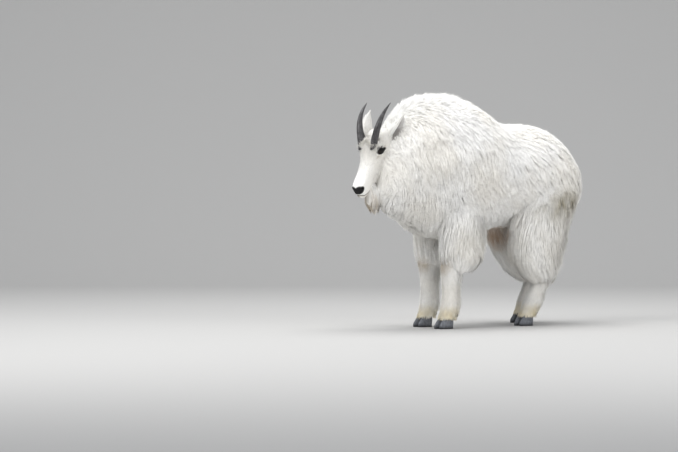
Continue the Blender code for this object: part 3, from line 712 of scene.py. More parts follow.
def coat_piece(name, sets, material):
    """One joined mesh of tufts, coloured as the skin under them."""
    points, faces, normals, spots, heights, roots, strand = [], [], [], [], [], [], []
    start = 0
    for paths, outward, width, thick, uv in sets:
        p, f, n, s, h = tuft_mesh(paths, outward, width, thick, uv)
        points.append(p)
        faces.append(f + start)
        normals.append(n)
        spots.append(s)
        heights.append(h)
        roots.append(np.repeat(paths[:, 0] * 0.6 + paths[:, -1] * 0.4, len(p) // len(paths), axis=0))
        strand.append(np.repeat(np.arange(len(paths)) + start, len(p) // len(paths)))
        start += len(p)
    points, faces, normals = np.concatenate(points), np.concatenate(faces), np.concatenate(normals)
    spots, heights, roots = np.concatenate(spots), np.concatenate(heights), np.concatenate(roots)
    strand = np.concatenate(strand)
    mesh = bpy.data.meshes.new(name)
    mesh.vertices.add(len(points))
    mesh.vertices.foreach_set("co", (points - np.array(CENTRE)).astype(np.float32).ravel())
    mesh.loops.add(faces.size)
    mesh.loops.foreach_set("vertex_index", faces.astype(np.int32).ravel())
    mesh.polygons.add(len(faces))
    mesh.polygons.foreach_set("loop_start", np.arange(0, faces.size, 3, dtype=np.int32))
    mesh.update(calc_edges=True)
    mesh.polygons.foreach_set("use_smooth", np.ones(len(faces), bool))
    layer = mesh.uv_layers.new(name="OFBake")
    layer.data.foreach_set("uv", spots[faces.ravel()].astype(np.float32).ravel())
    colours = np.ones((len(points), 4), np.float32)
    # painted shade: each strand is darker towards its root, where it lies among the others
    root_shade = 0.92 + 0.08 * np.clip(heights * 1.6, 0, 1)
    tone = np.random.default_rng(8).uniform(0.92, 1.03, len(points))
    colours[:, :3] = coat_colour(roots) * root_shade[:, None] * tone[strand][:, None]
    paint = mesh.color_attributes.new("coat", "FLOAT_COLOR", "POINT")
    paint.data.foreach_set("color", colours.ravel())
    corner = points[faces]
    facing = np.cross(corner[:, 1] - corner[:, 0], corner[:, 2] - corner[:, 0])
    facing /= np.linalg.norm(facing, axis=1, keepdims=True) + 1e-12
    soft = normals[faces]
    soft /= np.linalg.norm(soft, axis=2, keepdims=True) + 1e-9
    # the underside of a tuft keeps its own normal, so that it isn't black where it is seen
    under = (soft * facing[:, None]).sum(axis=2) < 0.15
    soft[under] = np.repeat(facing[:, None], 3, axis=1)[under]
    mesh.normals_split_custom_set(soft.reshape(-1, 3).astype(np.float32))
    mesh.materials.append(material)
    return placed(name, mesh)


def leg_surface(points, margin):
    """How far each point lies from each upper leg's axis, and where that leg's surface is."""
    found = []
    for name, (side, steps) in LEGS.items():
        table, _ = tables_of(name)
        z = np.clip(points[:, 2], table[-1][0], table[0][0])
        _, x, y, long, wide = through(table, z)
        x = x + np.interp(z, *np.array(steps).T)
        off = [(points[:, 0] - x) / (long + margin), (points[:, 1] - side * y) / (wide + margin)]
        far = np.linalg.norm(np.stack(off, 1), axis=1)
        far[(points[:, 2] < table[-1][0] + 0.03) | (points[:, 2] > table[0][0])] = 9.0
        found.append((far, x, side * y))
    return found


def in_leg(points, margin=-0.034):
    """Which points lie inside a leg's upper part."""
    inside = np.zeros(len(points), bool)
    for far, _, _ in leg_surface(points, margin):
        inside |= far < 1
    return inside


def draped(points, margin):
    """Points pushed out of the upper legs, so that the body's hair hangs over them."""
    points = points.copy()
    for far, x, y in leg_surface(points, margin):
        inside = far < 1
        grow = 1 / np.maximum(far[inside], 0.35)
        points[inside, 0] = x[inside] + (points[inside, 0] - x[inside]) * grow
        points[inside, 1] = y[inside] + (points[inside, 1] - y[inside]) * grow
    return points


def in_trunk(points, coat=0.40):
    """Which points lie inside the trunk at a depth of its coat."""
    x = np.clip(points[:, 0], TRUNK[0][0], TRUNK[-1][0])
    y, top, bottom, wide, middle, narrow = trunk_section(x, coat)
    rise = np.where(points[:, 2] > middle, top - middle, middle - bottom)
    up = (points[:, 2] - middle) / rise
    pinch = 1 - narrow * np.clip(up, 0, 1) ** 2
    across = (points[:, 1] - y) / (wide * pinch)
    ends = (points[:, 0] > TRUNK[0][0]) & (points[:, 0] < TRUNK[-1][0])
    return ends & (np.abs(up) ** 2.1 + np.abs(across) ** 2.1 < 1)


def in_head(points, margin=-0.004):
    """Which points lie inside the head."""
    local = to_head(points)
    distance = -local[:, 0] - chin_slant(-local[:, 0]) * local[:, 2]
    held = np.clip(distance, HEAD[0][0], HEAD[-1][0])
    _, top, bottom, wide, above, below = through(HEAD, held)
    rise = np.where(local[:, 2] > 0, top + margin, margin - bottom)
    up = local[:, 2] / rise
    pinch = 1 - above * np.clip(up, 0, 1) ** 2 - below * np.clip(-up, 0, 1) ** 2
    across = local[:, 1] / ((wide + margin) * pinch)
    ends = (distance > HEAD[0][0]) & (distance < HEAD[-1][0])
    return ends & (np.abs(up) ** 2.2 + np.abs(across) ** 2.2 < 1)


def trunk_tufts(tufts, count):
    """The long hair of the body: short and upright along the hump, hanging down the flanks."""
    rng = np.random.default_rng(11)
    a, b = spread(count, 1)
    start, end = TRUNK[0][0] + 0.004, TRUNK[-1][0] - 0.002
    x = start + (end - start) * a
    down = (b * 2 - 1) * pi

    def surface(x, down):
        return trunk_point(np.clip(x, start, end + 0.001), pi / 2 - down, HAIR_LEVEL)

    keep = thinned(area_weight(surface, x, down, 1e-3), rng)
    x, down = x[keep], down[keep]
    roots = surface(x, down)
    beside_ear = ear_distance(roots)
    keep = ~in_leg(roots) & ~in_head(roots) & (beside_ear > 0.012)
    x, down, roots, beside_ear = x[keep], down[keep], roots[keep], beside_ear[keep]
    n = len(x)
    side = np.sign(down)
    low = np.abs(down)
    lean = np.interp(low, (0.0, 0.3, 0.7, 1.6, 2.4, 3.0), (1.50, 1.05, 0.66, 0.36, 0.45, 0.75))
    lean *= np.interp(x, (-0.62, -0.45, -0.2, 0.3, 0.5), (0.30, 0.6, 1.0, 1.1, 0.7))
    lean += 0.26 * ripple(roots, 9, 4) + rng.normal(0, 0.10, n)
    lean += rng.normal(-0.10, 0.30, n) * np.clip((-0.56 - x) / 0.06, 0, 1)
    length = np.interp(low, (0.0, 0.6, 1.2, 1.8, 2.4, 3.0), (0.050, 0.060, 0.080, 0.095, 0.085, 0.075))
    length *= np.interp(x, (-0.65, -0.60, -0.50, -0.30, 0.10, 0.5), (0.65, 0.80, 1.0, 1.10, 0.95, 0.95))
    length *= np.interp(beside_ear, (0.012, 0.060), (0.25, 1.0))
    length *= rng.uniform(0.72, 1.12, n) * (1 + 0.12 * ripple(roots, 16, 5))
    # the hair stands up along the back and lies flat down the sides
    upright = np.interp(low, (0.0, 0.5, 1.2), (1.0, 0.8, 0.0))
    lift = rng.uniform(0.84, 1.02, n) + 0.05 * ripple(roots, 14, 8) + 0.10 * (rng.random(n) < 0.08)
    lift = SKIN_LEVEL + (lift - SKIN_LEVEL) * np.interp(beside_ear, (0.012, 0.060), (0.30, 1.0))
    bend = rng.normal(0, 0.14, n) + 0.20 * ripple(roots, 12, 6)
    paths, outward = [], []
    here_x, here_low, past = x.copy(), low.copy(), 0.0
    for step in (0.0, 0.52, 1.0):
        slant = (lean + bend * step) * np.clip((0.53 - here_x) / 0.12, 0, 1)
        here_x = np.clip(here_x + length * (step - past) * np.sin(slant), start, end)
        radius = 0.5 * through(TRUNK, here_x)[4] + 0.155
        here_low = here_low + length * (step - past) * np.cos(slant) / radius
        past = step
        flat = np.sin(0.5 * pi * step) ** 0.85
        rise = HAIR_LEVEL + (lift - HAIR_LEVEL) * (flat * (1 - upright) + step * upright)
        turn = pi / 2 - side * here_low
        point = trunk_point(here_x, turn, rise)
        over = trunk_point(here_x, turn + 0.04, rise)
        back = trunk_point(np.clip(here_x + 0.008, start, end + 0.001), turn, rise)
        normal = np.cross(over - point, back - point)
        small = np.linalg.norm(normal, axis=1) < 1e-7
        normal[small] = (1, 0, 0)
        point[:, 2] -= 0.012 * step**2 * np.clip((low - 2.1) / 0.8, 0, 1)
        paths.append(draped(point, -0.022 + 0.020 * step))
        outward.append(normal)
    paths, outward = np.stack(paths, 1), np.stack(outward, 1)
    width = rng.uniform(0.0026, 0.0046, n)
    uv = np.stack([0.02 + 0.56 * (x - start) / (end - start), 0.02 + 0.58 * (down / (2 * pi) + 0.5)], 1)
    strength = np.interp(low, (0.0, 0.7, 1.5), (0.25, 0.40, 0.55))
    tufts.add(paths, outward, width, width * 0.20, uv, strength, 0.024)


def outward_at(turn, rise):
    """The way out of a leg or of hanging hair at a turn round it, tipped up by a rise."""
    return np.stack([np.cos(turn), np.sin(turn), np.full(len(turn), rise)], 1)


def ear_distance(points):
    """How far points lie from the nearer ear's surface, along its middle."""
    nearest = np.full(len(points), 9.0)
    for side in (1, -1):
        for share in (0.1, 0.3, 0.5, 0.7, 0.9):
            middle, _, _ = ear_shape(side, share, 0.0)
            nearest = np.minimum(nearest, np.linalg.norm(points - middle, axis=1) - 0.012)
    return nearest


def leg_tufts(tufts, name, side, steps, slot, count):
    """The shaggy upper leg, down to its hem."""
    table, _ = tables_of(name)
    rng = np.random.default_rng(20 + slot)
    a, b = spread(count, 3 + slot)
    top = 0.60 if name.startswith("fore") else 0.70
    hem = table[-1][0]
    z = hem + 0.045 + (top - hem - 0.045) * a
    turn = b * 2 * pi
    roots = limb_point(table, side, steps, z, turn, -0.024)
    keep = ~in_trunk(roots, 0.30)
    z, turn, roots = z[keep], turn[keep], roots[keep]
    n = len(z)
    length = np.interp(z, (hem, hem + 0.15, top), (0.075, 0.095, 0.090)) * rng.uniform(0.75, 1.15, n)
    sweep = 0.12 + 0.22 * ripple(roots, 10, 7) + rng.normal(0, 0.10, n)
    flow = rng.uniform(0.70, 1.05, n)
    lowest = hem - rng.uniform(0.0, 0.026, n)
    paths, outward = [], []
    for step in (0.0, 0.52, 1.0):
        height = np.maximum(z - length * step * np.cos(sweep), lowest + (1 - step) * 0.030)
        level = np.maximum(height, hem + 0.002)
        out = -0.024 + 0.022 * flow * np.sin(0.5 * pi * step) ** 0.85
        point = limb_point(table, side, steps, level, turn, out)
        # the last hair hangs free round the lower leg
        centre = limb_point(table, side, steps, level, turn, -0.050)
        free = np.clip((hem + 0.015 - height) / 0.06, 0, 0.5)
        point = point + (centre - point) * free[:, None]
        point[:, 2] = height
        point[:, 0] += length * step * np.sin(sweep)
        paths.append(point)
        outward.append(outward_at(turn, 0.15))
    paths, outward = np.stack(paths, 1), np.stack(outward, 1)
    width = rng.uniform(0.0026, 0.0044, n)
    uv = np.stack([0.02 + 0.24 * slot + 0.22 * b[keep], 0.63 + 0.16 * a[keep]], 1)
    tufts.add(paths, outward, width, width * 0.20, uv, 0.55, 0.022)


def shank_tufts(tufts, name, side, steps, slot, count):
    """Thick, short hair down the lower leg, with a little fringe over the hoof."""
    _, table = tables_of(name)
    rng = np.random.default_rng(40 + slot)
    a, b = spread(count, 9 + slot)
    z = 0.052 + (table[0][0] - 0.03 - 0.052) * a
    turn = b * 2 * pi
    n = len(z)
    roots = limb_point(table, side, steps, z, turn, -0.006)
    length = np.interp(z, (0.04, 0.08, 0.12, 0.20, 0.30), (0.016, 0.022, 0.028, 0.030, 0.036))
    length *= rng.uniform(0.7, 1.25, n)
    back = np.clip(np.cos(turn), 0, 1)
    length *= 1 + 0.5 * back
    stand = rng.uniform(0.3, 1.0, n) * (0.0070 + 0.0070 * back)
    lowest = 0.030 + rng.uniform(0, 0.010, n)
    paths, outward = [], []
    for step in (0.0, 0.5, 1.0):
        height = np.maximum(z - length * step, lowest + (1 - step) * 0.012)
        level = np.maximum(height, 0.047)
        point = limb_point(table, side, steps, level, turn, -0.006 + (0.004 + stand) * step)
        point[:, 2] = height
        point[:, 0] += 0.20 * length * step * back
        paths.append(point)
        outward.append(outward_at(turn, 0.3))
    paths, outward = np.stack(paths, 1), np.stack(outward, 1)
    paths[:, 1:] += (ripple(roots, 40, 9) * 0.002)[:, None, None] * outward[:, 1:]
    width = rng.uniform(0.0018, 0.0030, n)
    uv = np.stack([0.02 + 0.24 * slot + 0.22 * b, 0.81 + 0.08 * a], 1)
    tufts.add(paths, outward, width, width * 0.25, uv, 0.50, 0.011)


def hanging_tufts(tufts, table, slot, count, long, drop_end):
    """The beard, and the hair of the tail."""
    rng = np.random.default_rng(60 + slot)
    a, b = spread(count, 14 + slot)
    z = table[-1][0] + 0.03 + (table[0][0] - table[-1][0] - 0.03) * a
    turn = b * 2 * pi
    roots = limb_point(table, 1, STILL, z, turn, -0.014)
    keep = ~in_head(roots, -0.006) & ~in_trunk(roots, 0.3)
    z, turn, roots = z[keep], turn[keep], roots[keep]
    n = len(z)
    length = long * rng.uniform(0.6, 1.1, n)
    lowest = table[-1][0] + 0.035 - (drop_end + 0.035) * rng.uniform(0.0, 1.2, n) ** 1.5
    drift = 0.014 * ripple(roots, 30, 10) + rng.normal(0, 0.004, n)
    paths, outward = [], []
    for step in (0.0, 0.40, 0.74, 1.0):
        height = np.maximum(z - length * step, lowest + (1 - step) * 0.025)
        level = np.maximum(height, table[-1][0])
        point = limb_point(table, 1, STILL, level, turn, -0.014 + 0.013 * sin(0.5 * pi * step))
        point[:, 2] = height
        point[:, 0] += drift * step
        point[:, 1] += 0.6 * drift * step
        paths.append(point)
        outward.append(outward_at(turn, 0.15))
    paths, outward = np.stack(paths, 1), np.stack(outward, 1)
    width = rng.uniform(0.0024, 0.0040, n)
    uv = np.stack([0.60 + 0.18 * slot + 0.16 * b[keep], 0.02 + 0.16 * a[keep]], 1)
    tufts.add(paths, outward, width, width * 0.22, uv, 0.68, 0.013)


def face_places(count, seed, start, end, lift):
    """Roots spread evenly over the head, clear of the nose, the lips, the eyes and the horns."""
    rng = np.random.default_rng(seed)
    a, b = spread(count, seed)
    distance = start + (end - start) * a
    turn = b * 2 * pi

    def surface(distance, turn):
        return head_point(distance, turn, lift)

    keep = thinned(area_weight(surface, distance, turn, 1e-3), rng)
    distance, turn = distance[keep], turn[keep]
    local = surface(distance, turn)
    up, side = local[:, 2], np.abs(local[:, 1])
    away = -local[:, 0]
    bare = (away < 0.020) & (up > -0.026)
    lips = (np.abs(up - mouth_height(distance)) < 0.0035) & (distance < 0.060)
    keep = ~bare & ~lips
    for which in (1, -1):
        along, over, out = eye_axes(local, which)
        keep &= ((along / 0.0215) ** 2 + (over / 0.0140) ** 2 > 1) | (out < -0.02)
    horn = np.hypot(local[:, 0] + FACE_LENGTH - 0.010, side - HORN_SPREAD) < HORN_RADIUS - 0.004
    keep &= ~(horn & (up > 0.03))
    keep &= ~in_trunk(from_head(local), 0.35)
    return distance[keep], turn[keep], local[keep], rng


def face_patch(distance, turn):
    """Where the head's tufts have their patches on the flat map."""
    return np.stack([0.60 + 0.36 * distance / 0.32, 0.22 + 0.36 * ((turn / (2 * pi)) % 1)], 1)


def over_eye(paths):
    """Which tufts would hang across an eye."""
    local = to_head(paths)
    across = np.zeros(len(paths), bool)
    for which in (1, -1):
        along, over, out = eye_axes(local, which)
        inside = ((along / 0.0185) ** 2 + (over / 0.0135) ** 2 < 1) & (out > -0.02)
        across |= inside.any(axis=1)
    return across


def face_tufts(tufts, count):
    """Short hair on the head, lying back from the nose, longer round the horns and the poll."""
    distance, turn, local, rng = face_places(count, 21, 0.004, 0.316, -0.004)
    n = len(distance)
    up = local[:, 2]
    back = (0.0, 0.05, 0.12, 0.18, 0.24, 0.32)
    length = np.interp(distance, back, (0.006, 0.009, 0.013, 0.018, 0.030, 0.040))
    length *= rng.uniform(0.75, 1.25, n)
    drop = np.clip(-up / 0.06 + 0.30, 0, 1.3) + 0.20 * ripple(local, 30, 11) + rng.normal(0, 0.12, n)
    sign = np.where(np.cos(turn) > 0, -1.0, 1.0)
    stand = np.interp(distance, (0.0, 0.05, 0.12, 0.20, 0.32), (0.0012, 0.0022, 0.0035, 0.007, 0.014))
    brow = np.clip(1 - ((distance - 0.172) / 0.036) ** 2, 0, 1) * np.clip(up / 0.04, 0, 1)
    length += 0.010 * brow
    stand = (stand + 0.010 * brow) * rng.uniform(0.4, 1.1, n)
    paths, outward = [], []
    for step in (0.0, 0.5, 1.0):
        there = np.clip(distance + length * step * np.cos(drop), 0, 0.321)
        around = turn + sign * length * step * np.sin(drop) / 0.06
        lift = -0.004 + (0.0025 + stand) * step
        point = head_point(there, around, lift)
        paths.append(from_head(point))
        outward.append((head_point(there, around, lift + 0.01) - point) @ HEAD_TURN.T)
    paths, outward = np.stack(paths, 1), np.stack(outward, 1)
    # hair that would hang across an eye is set to nothing here, and left out by add
    paths[over_eye(paths)] = 0
    width = np.interp(distance, (0.0, 0.10, 0.20, 0.32), (0.0008, 0.0011, 0.0016, 0.0026))
    width *= rng.uniform(0.8, 1.2, n)
    spot = face_patch(distance, turn)
    tufts.add(paths, outward, width, width * 0.25, spot, 0.35, 0.007)


def crown_tufts(tufts, side, slot, count):
    """Hair that stands round the root of a horn and parts along it."""
    rng = np.random.default_rng(70 + slot)
    a, b = spread(count, 31 + slot)
    turn = b * 2 * pi
    reach = HORN_RADIUS * (0.98 + 0.80 * a**0.8)
    across = reach * np.cos(turn) + 0.010 - FACE_LENGTH
    aside = side * HORN_SPREAD + reach * np.sin(turn)
    _, top, _, wide, above, _ = through(HEAD, -across)
    level = np.clip(np.abs(aside) / (wide * (1 - above * 0.8)), 0, 0.98)
    height = top * (1 - level**2.2) ** (1 / 2.2) - 0.003
    roots = from_head(np.stack([across, aside, height], 1))
    out = np.stack([np.cos(turn), np.sin(turn), np.zeros(count)], 1) @ HEAD_TURN.T
    ahead = np.clip(np.cos(turn), 0, 1)
    length = rng.uniform(0.014, 0.022, count) + 0.018 * ahead
    up = np.array((0, 0, 1.0)) * (0.9 - 0.2 * ahead)[:, None]
    way = up + out * 0.35 + rng.normal(0, 0.12, (count, 3))
    way /= np.linalg.norm(way, axis=1, keepdims=True)
    half_way = roots + way * (0.5 * length)[:, None]
    paths = np.stack([roots, half_way, roots + (way + out * 0.15) * length[:, None]], 1)
    outward = np.repeat(out[:, None], 3, axis=1)
    width = rng.uniform(0.0014, 0.0024, count)
    uv = np.stack([0.60 + 0.18 * slot + 0.16 * a, 0.91 + 0.07 * b], 1)
    tufts.add(paths, outward, width, width * 0.25, uv, 0.35, 0.008)


def ruff_tufts(tufts, count):
    """Long hair of the cheeks, the jaw and the throat, hanging back and down over the neck."""
    distance, turn, local, rng = face_places(count, 22, 0.045, 0.314, -0.006)
    highest = np.minimum(0.030 - 0.10 * np.clip(0.16 - distance, 0, 1), 0.012 + 0.25 * (distance - 0.16))
    keep = local[:, 2] < highest
    distance, turn, local = distance[keep], turn[keep], local[keep]
    n = len(distance)
    normal = (head_point(distance, turn, 0.004) - local) @ HEAD_TURN.T
    normal /= np.linalg.norm(normal, axis=1, keepdims=True)
    way = -1.10 * AHEAD + np.array((0, 0, -0.60))
    way = np.broadcast_to(way, (n, 3)) + rng.normal(0, 0.10, (n, 3))
    way = way - normal * (way * normal).sum(1, keepdims=True) * 0.8
    way /= np.linalg.norm(way, axis=1, keepdims=True)
    deep = np.clip(-local[:, 2] / 0.08, 0, 1)
    back = (0.04, 0.10, 0.18, 0.26, 0.32)
    length = np.interp(distance, back, (0.018, 0.045, 0.080, 0.095, 0.085)) * (0.70 + 0.40 * deep)
    length *= rng.uniform(0.7, 1.15, n)
    roots = from_head(local)
    down = np.array((0, 0, -1.0))
    paths, outward = [roots], [normal]
    point = roots
    for step, past in ((0.40, 0.0), (0.74, 0.40), (1.0, 0.74)):
        fall = 0.45 * step
        heading = way * (1 - fall) + down * fall + normal * (0.40 * (1 - step) * deep[:, None] ** 0.5 + 0.16)
        heading /= np.linalg.norm(heading, axis=1, keepdims=True)
        point = point + heading * (length * (step - past))[:, None]
        paths.append(point)
        outward.append(normal)
    paths, outward = np.stack(paths, 1), np.stack(outward, 1)
    width = rng.uniform(0.0020, 0.0034, n)
    spot = face_patch(distance, turn)
    tufts.add(paths, outward, width, width * 0.22, spot, 0.40, 0.014)


def ear_tufts(tufts, side, slot, count):
    """Short hair up the backs of the ears, with longer hair at the edges."""
    rng = np.random.default_rng(90 + slot)
    a, b = spread(count, 27 + slot)
    share = 0.02 + 0.93 * a
    turn = b * 2 - 1
    n = len(share)
    edge = np.clip((np.abs(turn) - 0.72) / 0.28, 0, 1)
    length = rng.uniform(0.008, 0.013, n) * (1 + 0.8 * edge)
    paths, outward = [], []
    for step in (0.0, 0.5, 1.0):
        there = np.clip(share + length * step / EAR_LENGTH, 0, 1.0)
        point, out, along = ear_shape(side, there, turn)
        beyond = np.clip(share + length * step / EAR_LENGTH - 1.0, 0, 0.06) * EAR_LENGTH
        point = point + out * (-0.0015 + 0.0032 * step) + along * beyond[:, None]
        sideways = np.sign(turn) * edge * length * step * 0.45
        point = point + np.cross(along, out) * sideways[:, None]
        paths.append(point)
        outward.append(out)
    paths, outward = np.stack(paths, 1), np.stack(outward, 1)
    width = rng.uniform(0.0014, 0.0022, n)
    uv = np.stack([0.62 + 0.18 * slot + 0.16 * a, 0.81 + 0.08 * b], 1)
    tufts.add(paths, outward, width, width * 0.3, uv, 0.3, 0.008)


def ear_lining(tufts, side, slot, count):
    """Pale hair from the ear's front edge across its cup, which is painted grey as shade."""
    rng = np.random.default_rng(95 + slot)
    a, b = spread(count, 35 + slot)
    share = 0.04 + 0.82 * a
    edge = np.where(b < 0.62, -0.93, 0.93)
    length = rng.uniform(0.010, 0.020, count) * np.sin(pi * (0.15 + 0.8 * share))
    paths, outward = [], []
    for step in (0.0, 0.5, 1.0):
        there = np.clip(share + 0.7 * length * step / EAR_LENGTH, 0, 0.99)
        point, out, along = ear_shape(side, there, edge)
        inward = -np.cross(along, out) * np.sign(edge)[:, None]
        point = point - out * 0.0045 + inward * (0.8 * length * step * rng.uniform(0.7, 1.0, count))[:, None]
        paths.append(point)
        outward.append(-out)
    paths, outward = np.stack(paths, 1), np.stack(outward, 1)
    width = rng.uniform(0.0010, 0.0018, count)
    uv = np.stack([0.62 + 0.18 * slot + 0.16 * a, 0.60 + 0.08 * b], 1)
    tufts.add(paths, outward, width, width * 0.3, uv, 0.2, 0.006)


# Finishes


def add(tree, kind, links=(), **settings):
    """Adds a node with its settings and the sockets that feed it: (input, node, output)."""
    made = tree.nodes.new("ShaderNode" + kind)
    for name, value in settings.items():
        if name.startswith("in_"):
            key = name[3:]
            made.inputs[int(key) if key.isdigit() else key.replace("_", " ")].default_value = value
        else:
            setattr(made, name, value)
    for socket, source, output in links:
        tree.links.new(source.outputs[output], made.inputs[socket])
    return made


def finish_of(name, **values):
    """A new material with one surface shader and its plain values."""
    material = bpy.data.materials.new(name)
    material.use_nodes = True
    tree = material.node_tree
    tree.nodes.clear()
    shader = add(tree, "BsdfPrincipled")
    for key, value in values.items():
        shader.inputs[key.replace("_", " ")].default_value = value
    add(tree, "OutputMaterial", [("Surface", shader, "BSDF")])
    return material, tree, shader


def two_tones(tree, source, output, low, high):
    """A ramp between two colours: each has its place and its sRGB code."""
    ramp = add(tree, "ValToRGB", [("Fac", source, output)])
    for element, (position, code) in zip(ramp.color_ramp.elements, (low, high)):
        element.position = position
        element.color = (*linear(code), 1)
    return ramp


def winter_hair():
    """Goat's winter hair, dry and matt: white keratin that scatters light, with a faint sheen."""
    material, tree, shader = finish_of("winter hair", Roughness=0.72, IOR=1.55, Metallic=0.0)
    shader.inputs["Specular IOR Level"].default_value = 0.25
    shader.inputs["Sheen Weight"].default_value = 0.25
    shader.inputs["Sheen Roughness"].default_value = 0.5
    paint = add(tree, "Attribute", attribute_name="coat")
    place = add(tree, "TexCoord")
    # locks 12 mm apart take slightly different whites
    streaks = add(tree, "TexNoise", [("Vector", place, "Object")], in_Scale=80.0, in_Detail=3.0)
    light = add(tree, "MapRange", [("Value", streaks, "Fac")], in_1=0.3, in_2=0.7, in_3=0.93, in_4=1.03)
    mixed = add(tree, "VectorMath", [(0, paint, "Color"), (1, light, "Result")], operation="MULTIPLY")
    tree.links.new(mixed.outputs[0], shader.inputs["Base Color"])
    return material


def short_hair():
    """Skin under short hair: the same white, with the hair's grain as bump, 1.1 mm apart and finer."""
    material, tree, shader = finish_of("short hair over skin", Roughness=0.70, IOR=1.50, Metallic=0.0)
    shader.inputs["Specular IOR Level"].default_value = 0.25
    paint = add(tree, "Attribute", attribute_name="coat")
    place = add(tree, "TexCoord")
    stretch = add(tree, "Mapping", [("Vector", place, "Object")], in_Scale=(1.0, 1.0, 0.35))
    grain = add(tree, "TexNoise", [("Vector", stretch, "Vector")], in_Scale=900.0, in_Detail=4.0)
    raised = add(tree, "Bump", [("Height", grain, "Fac")], in_Strength=0.35, in_Distance=0.0012)
    light = add(tree, "MapRange", [("Value", grain, "Fac")], in_1=0.3, in_2=0.7, in_3=0.90, in_4=1.02)
    mixed = add(tree, "VectorMath", [(0, paint, "Color"), (1, light, "Result")], operation="MULTIPLY")
    tree.links.new(mixed.outputs[0], shader.inputs["Base Color"])
    tree.links.new(raised.outputs["Normal"], shader.inputs["Normal"])
    return material


def horn_finish():
    """Horn, keratin grown in rings and worn smooth: black with grey scuffs along it."""
    material, tree, shader = finish_of("black horn", IOR=1.55, Metallic=0.0)
    place = add(tree, "TexCoord")
    stretch = add(tree, "Mapping", [("Vector", place, "Object")], in_Scale=(1.0, 1.0, 0.12))
    # fibres 1.5 mm apart run up the horn
    fibre = add(tree, "TexNoise", [("Vector", stretch, "Vector")], in_Scale=650.0, in_Detail=5.0)
    patch = add(tree, "TexNoise", [("Vector", place, "Object")], in_Scale=45.0, in_Detail=3.0)
    both = add(tree, "Math", [(0, fibre, "Fac"), (1, patch, "Fac")], operation="MULTIPLY")
    ramp = two_tones(tree, both, "Value", (0.18, "#1E1C1C"), (0.42, "#5C5A5B"))
    raised = add(tree, "Bump", [("Height", fibre, "Fac")], in_Strength=0.25, in_Distance=0.0008)
    rough = add(tree, "MapRange", [("Value", patch, "Fac")], in_3=0.30, in_4=0.52)
    tree.links.new(ramp.outputs["Color"], shader.inputs["Base Color"])
    tree.links.new(rough.outputs["Result"], shader.inputs["Roughness"])
    tree.links.new(raised.outputs["Normal"], shader.inputs["Normal"])
    return material


def hoof_finish():
    """Hoof horn, worn on rock: blue-grey, dull, with growth lines 2 mm apart."""
    material, tree, shader = finish_of("hoof horn", IOR=1.55, Metallic=0.0)
    place = add(tree, "TexCoord")
    lines = add(tree, "TexWave", [("Vector", place, "Object")], bands_direction="Z", in_Scale=160.0)
    lines.inputs["Distortion"].default_value = 2.5
    scuff = add(tree, "TexNoise", [("Vector", place, "Object")], in_Scale=130.0, in_Detail=5.0)
    height = add(tree, "SeparateXYZ", [("Vector", place, "Object")])
    sole = add(tree, "MapRange", [("Value", height, "Z")], in_1=0.0, in_2=0.018, in_3=0.0, in_4=1.0)
    tone = add(tree, "Math", [(0, scuff, "Fac"), (1, sole, "Result")], operation="MULTIPLY")
    ramp = two_tones(tree, tone, "Value", (0.10, "#26262A"), (0.62, "#6F7278"))
    raised = add(tree, "Bump", [("Height", lines, "Fac")], in_Strength=0.3, in_Distance=0.0006)
    rough = add(tree, "MapRange", [("Value", scuff, "Fac")], in_3=0.45, in_4=0.70)
    tree.links.new(ramp.outputs["Color"], shader.inputs["Base Color"])
    tree.links.new(rough.outputs["Result"], shader.inputs["Roughness"])
    tree.links.new(raised.outputs["Normal"], shader.inputs["Normal"])
    return material


def eye_finish():
    """A wet, dark brown eye with the level bar of a goat's pupil."""
    material, tree, shader = finish_of("wet eye", Roughness=0.06, IOR=1.38, Metallic=0.0)
    paint = add(tree, "Attribute", attribute_name="iris")
    place = add(tree, "TexCoord")
    flecks = add(tree, "TexNoise", [("Vector", place, "Object")], in_Scale=900.0, in_Detail=3.0)
    light = add(tree, "MapRange", [("Value", flecks, "Fac")], in_3=0.7, in_4=1.3)
    mixed = add(tree, "VectorMath", [(0, paint, "Color"), (1, light, "Result")], operation="MULTIPLY")
    tree.links.new(mixed.outputs[0], shader.inputs["Base Color"])
    return material


# Horns, eyes and hooves


def horn_mesh(side):
    """A horn that rises, then sweeps back and out, ringed near its root."""
    root = np.array(HEAD_AXES @ Vector((0.010 - FACE_LENGTH, side * HORN_SPREAD, BROW_HEIGHT - 0.006)))
    share = np.linspace(-0.05, 1, 130)
    above = np.clip(share, 0, 1)
    rise = HORN_HEIGHT * above**0.95
    out = 0.034 * above + 0.006 * np.sin(pi * above)
    sweep = 0.084 * above**2.7
    centres = root + np.outer(rise, (0, 0, 1)) + np.outer(out, LEFTWARD * side) - np.outer(sweep, AHEAD)
    # below its root the horn runs on into the skull
    centres -= np.outer(np.clip(-share, 0, 1) * HORN_HEIGHT, (0, 0, 1))
    along = np.gradient(centres, axis=0)
    along /= np.linalg.norm(along, axis=1, keepdims=True)
    across = np.cross(along, AHEAD)
    across /= np.linalg.norm(across, axis=1, keepdims=True)
    fore = np.cross(across, along)
    rings = []
    turns = turns_of(32)
    for i, s in enumerate(above):
        radius = HORN_RADIUS * (1 - s**1.3) ** 0.8 + 0.0010
        groove = 0.035 * np.clip(0.75 - s, 0, 1) * sin(2 * pi * (9.5 * s**0.8)) ** 3
        radius *= 1 + groove
        wobble = 1 + 0.02 * np.cos(3 * turns + 0.7)
        ring = centres[i] + np.outer(np.cos(turns) * radius * 0.94 * wobble, across[i])
        ring += np.outer(np.sin(turns) * radius * 1.06 * wobble, fore[i])
        # near the root the rings tip until they lie along the slope of the brow
        ring[:, 2] -= BROW_SLOPE * max(0, 1 - s / 0.30) * ((ring - centres[i]) @ AHEAD)
        rings.append(ring)
    return loft(rings)


